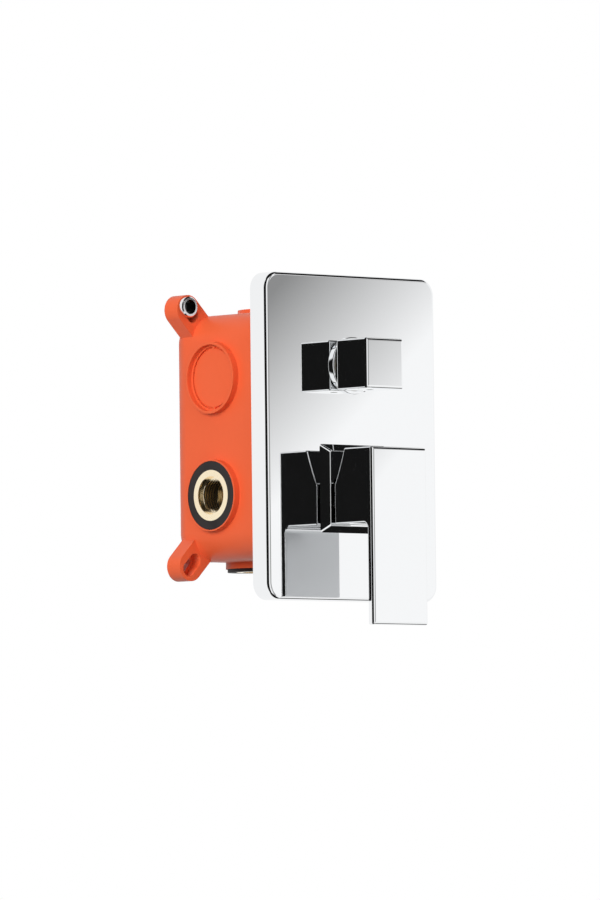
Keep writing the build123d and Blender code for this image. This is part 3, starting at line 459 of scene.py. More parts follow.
class Effects:
    """Node groups that several finishes share."""

    FLOAT = "NodeSocketFloat"
    COLOR = "NodeSocketColor"

    def __init__(self) -> None:
        """Builds every group once."""
        self.drift = self._tone_drift()
        self.marks = self._handling_marks()
        self.grain = self._surface_grain()
        self.turning = self._turning_lines()
        self.bore = self._bore_shade()
        self.satin_and_shade = self._satin_shaded_back()

    def _tone_drift(self) -> bpy.types.NodeTree:
        """Colour that drifts a little lighter and darker over the surface."""
        tree, source, sink = new_group(
            "tone_drift",
            {
                "Color": (self.COLOR, (0.8, 0.8, 0.8, 1.0)),
                "Amount": (self.FLOAT, 0.1),
                "Scale": (self.FLOAT, 30.0),
            },
            {"Color": self.COLOR},
        )
        fine_ratio = 14.0
        fine_share = 0.35
        mean = (1.0 + fine_share) / 2.0
        nodes = Nodes(tree)
        place_on = nodes.add("TexCoord").outputs["Object"]
        broad = nodes.add("TexNoise", {"Vector": place_on, "Scale": source.outputs["Scale"], "Detail": 4.0})
        fine_scale = nodes.math("MULTIPLY", source.outputs["Scale"], fine_ratio)
        fine = nodes.add("TexNoise", {"Vector": place_on, "Scale": fine_scale, "Detail": 2.0})
        mixed = nodes.math("ADD", broad.outputs[0], nodes.math("MULTIPLY", fine.outputs[0], fine_share))
        centred = nodes.math("SUBTRACT", mixed, mean)
        factor = nodes.math("ADD", nodes.math("MULTIPLY", centred, source.outputs["Amount"]), 1.0)
        scaled = nodes.add("VectorMath", {0: source.outputs["Color"], 3: factor}, operation="SCALE")
        tree.links.new(scaled.outputs[0], sink.inputs["Color"])
        return tree

    def _handling_marks(self) -> bpy.types.NodeTree:
        """Roughness with faint smears, and fine wiping lines in one direction."""
        tree, source, sink = new_group(
            "handling_marks",
            {
                "Base": (self.FLOAT, 0.1),
                "Spread": (self.FLOAT, 0.05),
                "Scale": (self.FLOAT, 20.0),
            },
            {"Roughness": self.FLOAT},
        )
        smear_from = 0.45
        smear_to = 0.75
        line_stretch = (1.0, 1.0, 14.0)
        line_ratio = 12.0
        line_share = 0.3
        nodes = Nodes(tree)
        place_on = nodes.add("TexCoord").outputs["Object"]
        scale = source.outputs["Scale"]
        values = {"Vector": place_on, "Scale": scale, "Detail": 5.0, "Distortion": 0.6}
        smear = nodes.add("TexNoise", values)
        ramp_values = {"Value": smear.outputs[0], "From Min": smear_from, "From Max": smear_to}
        ramp = nodes.add("MapRange", ramp_values)
        stretched = nodes.add("Mapping", {"Vector": place_on, "Scale": line_stretch})
        line_scale = nodes.math("MULTIPLY", scale, line_ratio)
        wiping = nodes.add("TexNoise", {"Vector": stretched.outputs[0], "Scale": line_scale, "Detail": 3.0})
        lines = nodes.math("MULTIPLY", wiping.outputs[0], line_share)
        both = nodes.math("ADD", ramp.outputs[0], lines)
        total = nodes.math("MULTIPLY", both, source.outputs["Spread"])
        roughness = nodes.math("ADD", total, source.outputs["Base"], clamp=True)
        tree.links.new(roughness, sink.inputs["Roughness"])
        return tree

    def _surface_grain(self) -> bpy.types.NodeTree:
        """Height of a fine moulded or cast grain over a broad waviness."""
        tree, source, sink = new_group(
            "surface_grain",
            {
                "Scale": (self.FLOAT, 900.0),
                "Waviness": (self.FLOAT, 0.3),
            },
            {"Height": self.FLOAT},
        )
        broad_ratio = 0.04
        nodes = Nodes(tree)
        place_on = nodes.add("TexCoord").outputs["Object"]
        fine = nodes.add("TexNoise", {"Vector": place_on, "Scale": source.outputs["Scale"], "Detail": 3.0})
        broad_scale = nodes.math("MULTIPLY", source.outputs["Scale"], broad_ratio)
        broad = nodes.add("TexNoise", {"Vector": place_on, "Scale": broad_scale, "Detail": 1.0})
        wave = nodes.math("MULTIPLY", broad.outputs[0], source.outputs["Waviness"])
        tree.links.new(nodes.math("ADD", fine.outputs[0], wave), sink.inputs["Height"])
        return tree

    def _turning_lines(self) -> bpy.types.NodeTree:
        """Height of fine tool lines round an axis along X, at the side sockets."""
        tree, source, sink = new_group(
            "turning_lines",
            {
                "Scale": (self.FLOAT, 900.0),
                "Centre": ("NodeSocketVector", (0.0, 0.0, 0.0)),
            },
            {"Height": self.FLOAT},
        )
        nodes = Nodes(tree)
        place_on = nodes.add("TexCoord").outputs["Object"]
        ends = {0: place_on, 1: source.outputs["Centre"]}
        moved = nodes.add("VectorMath", ends, operation="SUBTRACT")
        wave = nodes.add(
            "TexWave",
            {"Vector": moved.outputs[0], "Scale": source.outputs["Scale"], "Distortion": 1.5, "Detail": 2.0},
            wave_type="RINGS",
            rings_direction="X",
        )
        tree.links.new(wave.outputs["Fac"], sink.inputs["Height"])
        return tree

    def _satin_shaded_back(self) -> bpy.types.NodeTree:
        """Duller finish on the back of the hanging lever, which is only ground, with painted shade that
        darkens its colour there.
        """
        tree, source, sink = new_group(
            "satin_shaded_back",
            {
                "Color": (self.COLOR, (0.8, 0.8, 0.8, 1.0)),
                "Roughness": (self.FLOAT, 0.02),
            },
            {"Color": self.COLOR, "Roughness": self.FLOAT},
        )
        facing_from = 0.75
        facing_to = 0.95
        added_roughness = 0.34
        back_shade = 0.28
        nodes = Nodes(tree)
        surface = nodes.add("TexCoord")
        facing = nodes.add("SeparateXYZ", {0: surface.outputs["Normal"]})
        height = nodes.add("SeparateXYZ", {0: surface.outputs["Object"]})
        below = nodes.math("LESS_THAN", height.outputs[2], LEVER_ROOT_Z * MM)
        backwards = nodes.smooth_step(facing.outputs[1], facing_from, facing_to)
        share = nodes.math("MULTIPLY", backwards, below)
        extra = nodes.math("MULTIPLY", share, added_roughness)
        tree.links.new(nodes.math("ADD", extra, source.outputs["Roughness"]), sink.inputs["Roughness"])
        # painted shade: the colour is darkened on the lever's faces that point back towards the wall, below
        # its root
        factor = nodes.math("SUBTRACT", 1.0, nodes.math("MULTIPLY", share, back_shade))
        scaled = nodes.add("VectorMath", {0: source.outputs["Color"], 3: factor}, operation="SCALE")
        tree.links.new(scaled.outputs[0], sink.inputs["Color"])
        return tree

    def _bore_shade(self) -> bpy.types.NodeTree:
        """Painted shade: colour that turns black inside two bores along Y, mirrored on X."""
        tree, source, sink = new_group(
            "bore_shade",
            {
                "Color": (self.COLOR, (0.8, 0.8, 0.8, 1.0)),
                "Centre": ("NodeSocketVector", (0.0, 0.0, 0.0)),
                "Radius": (self.FLOAT, 0.004),
            },
            {"Color": self.COLOR},
        )
        rim = 1.03
        hollow_level = 0.05
        nodes = Nodes(tree)
        place_on = nodes.add("SeparateXYZ", {0: nodes.add("TexCoord").outputs["Object"]})
        centre = nodes.add("SeparateXYZ", {0: source.outputs["Centre"]})
        x = nodes.math("SUBTRACT", nodes.math("ABSOLUTE", place_on.outputs[0]), centre.outputs[0])
        z = nodes.math("SUBTRACT", place_on.outputs[2], centre.outputs[2])
        squares = nodes.math("ADD", nodes.math("MULTIPLY", x, x), nodes.math("MULTIPLY", z, z))
        share = nodes.math("DIVIDE", nodes.math("SQRT", squares), source.outputs["Radius"])
        outside = nodes.smooth_step(share, 1.0, rim, hollow_level, 1.0)
        behind = nodes.math("GREATER_THAN", place_on.outputs[1], centre.outputs[1])
        factor = nodes.math("MAXIMUM", outside, behind)
        scaled = nodes.add("VectorMath", {0: source.outputs["Color"], 3: factor}, operation="SCALE")
        tree.links.new(scaled.outputs[0], sink.inputs["Color"])
        return tree


@dataclass(frozen=True)
class Finish:
    """Finish of one material: colour, gloss and the depth of its grain."""

    MARKS_SCALE = 22.0
    BEVEL_SAMPLES = 6
    TURNING_SCALE = 700.0
    TURNING_DEPTH = 0.004

    slot: str
    color: tuple[float, float, float]
    metallic: float
    roughness: float
    smears: float
    drift: float
    drift_scale: float
    grain_scale: float
    grain_depth: float
    waviness: float = 0.3
    specular: float = 0.5
    edge_radius: float = 0.0
    turned_at: tuple[float, float, float] | None = None
    bore_at: tuple[float, float, float] | None = None
    bore_radius: float = 0.004
    satin_shaded_back: bool = False

    def build(self, effects: Effects) -> bpy.types.Material:
        """Makes the material.

        Args:
            effects: The shared node groups.

        Returns:
            The material, named after its slot.
        """
        material = bpy.data.materials.new(self.slot)
        material.use_nodes = True
        nodes = Nodes(material.node_tree)
        shader = material.node_tree.nodes["Principled BSDF"]
        link = material.node_tree.links.new
        tone = nodes.group(
            effects.drift, {"Color": (*self.color, 1.0), "Amount": self.drift, "Scale": self.drift_scale}
        )
        color = tone.outputs["Color"]
        # painted shade: the colour turns black inside the wall screws' hollows
        if self.bore_at is not None:
            values = {"Color": color, "Centre": self.bore_at, "Radius": self.bore_radius}
            color = nodes.group(effects.bore, values).outputs["Color"]
        values = {"Base": self.roughness, "Spread": self.smears, "Scale": self.MARKS_SCALE}
        marks = nodes.group(effects.marks, values)
        dullness = marks.outputs["Roughness"]
        # rougher ground back, and painted shade that darkens the colour of the lever's back faces
        if self.satin_shaded_back:
            satin_and_shade = nodes.group(effects.satin_and_shade, {"Color": color, "Roughness": dullness})
            color = satin_and_shade.outputs["Color"]
            dullness = satin_and_shade.outputs["Roughness"]
        link(color, shader.inputs["Base Color"])
        link(dullness, shader.inputs["Roughness"])
        shader.inputs["Metallic"].default_value = self.metallic
        shader.inputs["Specular IOR Level"].default_value = self.specular
        grain = nodes.group(effects.grain, {"Scale": self.grain_scale, "Waviness": self.waviness})
        values = {"Height": grain.outputs["Height"], "Strength": 1.0, "Distance": self.grain_depth * MM}
        if self.edge_radius:
            soft = nodes.add("Bevel", {"Radius": self.edge_radius * MM}, samples=self.BEVEL_SAMPLES)
            values["Normal"] = soft.outputs[0]
        bump = nodes.add("Bump", values)
        if self.turned_at is not None:
            values = {"Scale": self.TURNING_SCALE, "Centre": self.turned_at}
            lines = nodes.group(effects.turning, values)
            bump = nodes.add(
                "Bump",
                {
                    "Height": lines.outputs["Height"],
                    "Strength": 1.0,
                    "Distance": self.TURNING_DEPTH * MM,
                    "Normal": bump.outputs[0],
                },
            )
        link(bump.outputs[0], shader.inputs["Normal"])
        return material


CHROME = (0.925, 0.935, 0.945)
BRASS = (1.0, 0.86, 0.62)
ORANGE = (0.85, 0.130, 0.044)
STEEL = (0.86, 0.86, 0.87)

# In metres in the model's frame: the hollow of the right wall screw, and the inlets' axis.
SCREW_AXIS = (0.054214, -0.0165, 0.075014)
SOCKET_AXIS = (0.0, -(INLET_DEPTH + WALL_DEPTH) * MM, INLET_Z * MM)

# Slot, colour, metallic, roughness, smears, drift, drift scale, grain scale, grain depth.
FINISHES = (
    Finish("plate_chrome", CHROME, 1.0, 0.018, 0.012, 0.01, 8.0, 60.0, 0.0003, waviness=1.5),
    Finish("trim_chrome", CHROME, 1.0, 0.02, 0.015, 0.01, 12.0, 80.0, 0.0003, waviness=1.5),
    Finish(
        "handle_chrome", CHROME, 1.0, 0.018, 0.014, 0.01, 10.0, 70.0, 0.0004, waviness=1.5, satin_shaded_back=True
    ),
    Finish(
        "orange_plastic", ORANGE, 0.0, 0.40, 0.10, 0.08, 18.0, 1400.0, 0.010,
        waviness=0.4, specular=0.28, edge_radius=0.35,
    ),
    Finish(
        "cast_brass", BRASS, 1.0, 0.14, 0.12, 0.08, 60.0, 1600.0, 0.003, waviness=0.2, turned_at=SOCKET_AXIS
    ),
    Finish("turned_brass", BRASS, 1.0, 0.20, 0.10, 0.08, 60.0, 1500.0, 0.003),
    Finish(
        "black_rubber", (0.020, 0.016, 0.016), 0.0, 0.55, 0.20, 0.35, 90.0, 2600.0, 0.010,
        waviness=0.5, specular=0.4,
    ),
    Finish(
        "seal_rubber", (0.020, 0.020, 0.020), 0.0, 0.48, 0.15, 0.25, 90.0, 2200.0, 0.008,
        waviness=0.4, specular=0.4,
    ),
    Finish("grey_foam", (0.16, 0.16, 0.165), 0.0, 0.85, 0.10, 0.35, 300.0, 2400.0, 0.10, specular=0.2),
    Finish("zinc_steel", STEEL, 1.0, 0.12, 0.10, 0.06, 80.0, 1500.0, 0.001, bore_at=SCREW_AXIS),
    Finish("stem_steel", (0.62, 0.61, 0.60), 1.0, 0.26, 0.12, 0.08, 80.0, 1500.0, 0.003),
    Finish("cartridge_plastic", (0.72, 0.71, 0.67), 0.0, 0.45, 0.10, 0.06, 60.0, 1800.0, 0.006),
    Finish("white_ceramic", (0.86, 0.85, 0.82), 0.0, 0.20, 0.06, 0.04, 60.0, 1800.0, 0.002),
)


class Materials:
    """All materials of the part, one for each slot of the record."""

    def __init__(self, record: dict, nodes: dict[str, bpy.types.Object]) -> None:
        """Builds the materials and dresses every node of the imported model.

        Args:
            record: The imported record.
            nodes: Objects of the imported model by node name.
        """
        effects = Effects()
        self.by_slot = {finish.slot: finish.build(effects) for finish in FINISHES}
        self.slot_of = {row["node"]: row["material_slot"] for row in record["subparts"]}
        for name, piece in nodes.items():
            self.dress(piece, self.slot_of[name])

    def dress(self, piece: bpy.types.Object, slot: str) -> bpy.types.Object:
        """Gives a piece the material of a slot, on every face."""
        piece.data.materials.clear()
        piece.data.materials.append(self.by_slot[slot])
        return piece


class Workshop:
    """Places finished pieces in the model: material, body, slot and replaced node."""

    def __init__(self, frame: dict, materials: Materials) -> None:
        """Keeps the frame and the materials.

        Args:
            materials: The materials.
        """
        self.frame = frame
        self.materials = materials

    def fit(self, piece: bpy.types.Object, body: Body, slot: str, *nodes: str) -> bpy.types.Object:
        """Dresses a piece, lets it ride on its body and hides the nodes that it stands for.

        Args:
            piece: Finished piece.
            body: Body on which it rides.
            slot: Material slot of the record.
            *nodes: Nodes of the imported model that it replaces.

        Returns:
            The same piece.
        """
        self.materials.dress(piece, slot)
        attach(piece, body.value)
        if nodes:
            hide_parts(*nodes)
        LOG.info("%s: %d faces on %s", piece.name, len(piece.data.polygons), body.value)
        return piece

    def smooth_copy(self, node: str, name: str) -> bpy.types.Object:
        """Merged and smoothly shaded copy of a node's mesh."""
        source = self.frame["nodes"][node].data
        points = [vertex.co[:] for vertex in source.vertices]
        faces = [polygon.vertices[:] for polygon in source.polygons]
        mesh = bpy.data.meshes.new(name)
        mesh.from_pydata(points, [], faces)
        return link_clean(name, mesh)


def ring_stack(
    name: str, outline: Rounded, section: np.ndarray, height: float, caps: bool = True
) -> bpy.types.Object:
    """Carries a rounded rectangle along a section: one ring of points for each inset and depth.

    Args:
        name: Name of the piece.
        outline: The rectangle at inset zero.
        section: Rows of inset and depth.
        height: Height of the rectangle's centre.
        caps: Whether the ends are closed. If not, the last ring joins the first.

    Returns:
        The piece.
    """
    rings = []
    for inset, depth in section:
        x, z = outline.loop(inset)
        rings.append(place(x, np.full_like(x, depth), z + height))
    return grid_object(name, np.stack(rings), not caps, True, caps=caps)


@dataclass
class CoverPlate:
    """Chrome pan: rings of a rounded rectangle carried along the section of its edge."""

    width: float = 127.0
    height: float = 181.0
    depth: float = PLATE_FRONT
    corner: float = 9.5
    edge: float = 2.0
    wall: float = 1.5
    rim_chamfer: float = 0.3
    mixer_hole: float = 21.9
    diverter_hole: float = 14.8
    cut_start: float = 8.0
    cut_end: float = 20.0
    edge_steps: int = 12

    def section(self) -> np.ndarray:
        """Section of the edge as inset and depth, from the inner skin round the rim to the front."""
        centre = (self.edge, self.depth - self.edge)
        inner = arc(centre, self.edge - self.wall, 90, 180, self.edge_steps)
        outer = arc(centre, self.edge, 180, 90, self.edge_steps)
        chamfer = self.rim_chamfer
        rim = np.array([(self.wall, chamfer), (self.wall - chamfer, 0.0), (chamfer, 0.0), (0.0, chamfer)])
        return np.concatenate([inner, rim, outer])

    def build(self, shop: Workshop) -> None:
        """Makes the plate and cuts its two holes.

        Args:
            shop: Where the piece is fitted.
        """
        outline = Rounded(self.width, self.height, self.corner)
        plate = ring_stack("plate_pan", outline, self.section(), 0.0)
        cutters = [
            drill(name, radius, self.cut_start, self.cut_end, Along.FRONT, (0, 0, height), segments)
            for name, radius, height, segments in (
                ("mixer_cut", self.mixer_hole, MIXER_Z, 128),
                ("diverter_cut", self.diverter_hole, DIVERTER_Z, 96),
            )
        ]
        cut_away(plate, cutters)
        shop.fit(even_normals(plate), Body.VALVE, "plate_chrome", "cover_plate")


@dataclass
class Rosette:
    """Square flange: rings of a rounded square, bevelled, with a round hole cut through."""

    base: float = 49.0
    face: float = 41.7
    corner: float = 1.6
    back: float = PLATE_FRONT
    land: float = 0.2
    height: float = 4.5
    hole: float = 13.0
    bore: float = 21.15
    seat: float = 16.2
    edge: float = 0.6
    margin: float = 5.0
    corner_steps: int = 10
    edge_steps: int = 7
    hole_steps: int = 128

    def section(self) -> np.ndarray:
        """Inset and depth of the rings: back, land, bevel, and an arc that touches bevel and face."""
        front = self.back + self.height
        inset = (self.base - self.face) / 2
        slope = math.degrees(math.atan2(self.height - self.land, inset))
        reach = self.edge * math.tan(math.radians(slope / 2))
        centre = (inset + reach, front - self.edge)
        rounding = arc(centre, self.edge, 90 + slope, 90, self.edge_steps)
        start = np.array([(0.0, self.back), (0.0, self.back + self.land)])
        return np.concatenate([start, rounding])

    def build(self, shop: Workshop) -> None:
        """Makes the flange.

        Args:
            shop: Where the piece is fitted.
        """
        outline = Rounded(self.base, self.base, self.corner, self.corner_steps, same_corner=True)
        flange = ring_stack("square_flange", outline, self.section(), MIXER_Z)
        middle = (0, 0, MIXER_Z)
        cutters = [
            drill(name, radius, start, end, Along.FRONT, middle, self.hole_steps)
            for name, radius, start, end in (
                ("hole_cut", self.hole, self.back, self.back + self.height + self.margin),
                ("seat_cut", self.bore, self.back - self.margin, self.seat),
            )
        ]
        cut_away(flange, cutters)
        shop.fit(even_normals(flange), Body.VALVE, "trim_chrome", "mixer_rosette")


@dataclass
class Collar:
    """Round collar behind the knob."""

    radius: float = 15.9
    bore: float = 13.95
    back: float = PLATE_FRONT
    height: float = 2.0
    edge: float = 0.5
    chamfer: float = 0.2
    edge_steps: int = 8
    round_steps: int = 128

    def build(self, shop: Workshop) -> None:
        """Turns the collar.

        Args:
            shop: Where the piece is fitted.
        """
        front = self.back + self.height
        profile = np.concatenate(
            [
                np.array([(self.bore, front - self.chamfer), (self.bore, self.back)]),
                np.array([(self.radius, self.back)]),
                arc((self.radius - self.edge, front - self.edge), self.edge, 0, 90, self.edge_steps),
                np.array([(self.bore + self.chamfer, front)]),
            ]
        )
        collar = turned("round_collar", profile, Along.FRONT, (0, 0, DIVERTER_Z), self.round_steps)
        shop.fit(even_normals(collar), Body.VALVE, "trim_chrome", "diverter_collar")


@dataclass
class Lever:
    """Lever casting: its side view carried across its width, with rounded edges."""

    width: float = 41.3
    top: float = -6.8
    bottom: float = -105.0
    front: float = 51.5
    thickness: float = 4.5
    block_bottom: float = -48.5
    block_back: float = 20.5
    relief: float = 8.0
    relief_start: float = -27.0
    relief_bulge: float = 0.4
    root: float = 3.5
    edge: float = 0.9
    front_edge: float = 1.7
    recess: float = 12.0
    recess_start: float = 10.0
    recess_depth: float = 4.0
    socket: float = 7.9
    socket_back: float = 15.0
    socket_front: float = 38.15
    screw_hole: float = 2.55
    screw_depth: float = 31.0
    screw_reach: float = 30.0
    root_steps: int = 10
    relief_steps: int = 12

    def side_view(self) -> np.ndarray:
        """Outline as depth and height: straight runs, a root fillet and a bulged relief."""
        back = self.front - self.thickness
        root = arc((back - self.root, self.block_bottom - self.root), self.root, 0, 90, self.root_steps)
        share = np.linspace(0.0, 1.0, self.relief_steps)
        bulge = 4.0 * self.relief_bulge * share * (1.0 - share)
        relief = np.stack(
            [
                self.block_back + self.relief * share + bulge,
                self.relief_start + (self.top - self.relief_start) * share,
            ],
            axis=-1,
        )
        corners = np.array([(self.front, self.top), (self.front, self.bottom), (back, self.bottom)])
        return np.concatenate([corners, root, np.array([(self.block_back, self.block_bottom)]), relief])

    def build(self, shop: Workshop) -> None:
        """Makes the casting with its recess, square socket and screw hole.

        Args:
            shop: Where the piece is fitted.
        """
        view = self.side_view()
        half = np.array([[-self.width / 2], [self.width / 2]])
        points = place(half, view[None, :, 0], view[None, :, 1])
        lever = grid_object("lever_casting", points, False, True, caps=True)
        round_edges(lever, self.edge, self.front_edge, self.front)
        side = self.socket / 2
        low = (-side, self.socket_back, MIXER_Z - side)
        high = (side, self.socket_front, MIXER_Z + side)
        recess_end = self.block_back + self.recess_depth
        middle = (0, 0, MIXER_Z)
        screw = (0, self.screw_depth, MIXER_Z)
        cutters = [
            drill("recess_cut", self.recess, self.recess_start, recess_end, Along.FRONT, middle, 96),
            block("socket_cut", low, high),
            drill("screw_cut", self.screw_hole, 0.0, self.screw_reach, Along.DOWN, screw, 48),
        ]
        cut_away(lever, cutters)
        shop.fit(even_normals(lever), Body.LEVER, "handle_chrome", "lever_handle")


@dataclass
class Knob:
    """Square diverter knob: rings of a rounded square, with rounded front and rear edges."""

    side: float = 28.0
    back: float = 16.0
    front: float = 40.7
    edge: float = 1.1
    front_edge: float = 1.7
    bore: float = 4.65
    bore_start: float = 10.0
    bore_end: float = 20.15
    socket: float = 6.3
    socket_back: float = 15.0
    socket_front: float = 35.15
    screw_hole: float = 2.05
    screw_depth: float = 28.0
    screw_reach: float = 30.0
    rear_steps: int = 7
    front_steps: int = 9
    corner_steps: int = 8

    def build(self, shop: Workshop) -> None:
        """Makes the knob with its stepped socket and screw hole.

        Args:
            shop: Where the piece is fitted.
        """
        rear = arc((self.edge, self.back + self.edge), self.edge, 270, 180, self.rear_steps)
        centre = (self.front_edge, self.front - self.front_edge)
        face = arc(centre, self.front_edge, 180, 90, self.front_steps)
        outline = Rounded(self.side, self.side, self.edge, self.corner_steps)
        knob = ring_stack("square_knob", outline, np.concatenate([rear, face]), DIVERTER_Z)
        side = self.socket / 2
        low = (-side, self.socket_back, DIVERTER_Z - side)
        high = (side, self.socket_front, DIVERTER_Z + side)
        middle = (0, 0, DIVERTER_Z)
        screw = (0, self.screw_depth, DIVERTER_Z)
        cutters = [
            drill("bore_cut", self.bore, self.bore_start, self.bore_end, Along.FRONT, middle, 64),
            block("socket_cut", low, high),
            drill("screw_cut", self.screw_hole, 0.0, self.screw_reach, Along.DOWN, screw, 40),
        ]
        cut_away(knob, cutters)
        shop.fit(even_normals(knob), Body.DIVERTER, "handle_chrome", "diverter_knob")


@dataclass
class Casting:
    """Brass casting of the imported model, with the thread cut into its four sockets."""

    minor: float = 9.32
    groove: float = 1.1
    pitch: float = 1.814
    steepness: float = 1.5
    land: float = 0.35
    sunk: float = 0.2
    start: float = 2.0
    side_mouth: float = 53.8
    top_mouth: float = 74.25
    top_depth: float = -51.0
    low_mouth: float = -71.85
    low_depth: float = -63.2
    turns: int = 7
    steps: int = 72
    rows_a_turn: int = 8

    def thread(self, name: str, along: Along, centre: tuple[float, float, float]) -> bpy.types.Object:
        """Closed cutter whose radius is the minor one plus a ridge that climbs one pitch a turn.

        Args:
            name: Name of the cutter.
            along: The way that the socket's mouth points.
            centre: Middle of the socket's mouth.

        Returns:
            The cutter.
        """
        rows = self.turns * self.rows_a_turn + 1
        inwards = np.linspace(0.0, self.turns * self.pitch, rows)
        phase = inwards[:, None] / self.pitch - np.linspace(0.0, 1.0, self.steps, endpoint=False)[None]
        ridge = 1.0 - 2.0 * np.abs(np.mod(phase, 1.0) - 0.5)
        fade = np.clip(np.minimum(inwards, inwards[::-1]) / self.pitch, 0.0, 1.0)[:, None]
        shape = np.clip(ridge * self.steepness - self.land, -self.sunk, 1.0)
        lift = shape * fade - self.sunk * (1.0 - fade)
        radius = self.minor + lift * self.groove
        profile = np.stack([np.ones(rows), -self.start - inwards], axis=-1)
        ends = profile[[0, -1]] * np.array([[0.0, 1.0]])
        profile = np.concatenate([ends[:1], profile, ends[1:]])
        wobble = np.concatenate([radius[:1], radius, radius[-1:]])
        return turned(name, profile, along, centre, self.steps, False, wobble)

    def build(self, shop: Workshop) -> None:
        """Cuts the threads into a smooth copy of the casting.

        Args:
            shop: Where the piece is fitted.
        """
        casting = shop.smooth_copy("brass_body", "threaded_casting")
        cutters = [
            self.thread("left_thread", Along.LEFT, (-self.side_mouth, INLET_DEPTH, INLET_Z)),
            self.thread("right_thread", Along.RIGHT, (self.side_mouth, INLET_DEPTH, INLET_Z)),
            self.thread("top_thread", Along.UP, (0.0, self.top_depth, self.top_mouth)),
            self.thread("low_thread", Along.DOWN, (0.0, self.low_depth, self.low_mouth)),
        ]
        cut_away(casting, cutters)
        shop.fit(even_normals(casting), Body.VALVE, "cast_brass", "brass_body")


def axes_matrix(right: Vector, up: Vector, back: Vector, middle: Vector) -> Matrix:
    """Matrix of an object from its right, up and back directions and its place."""
    rows = [(right[i], up[i], back[i], middle[i]) for i in range(3)]
    return Matrix([*rows, (0, 0, 0, 1)])


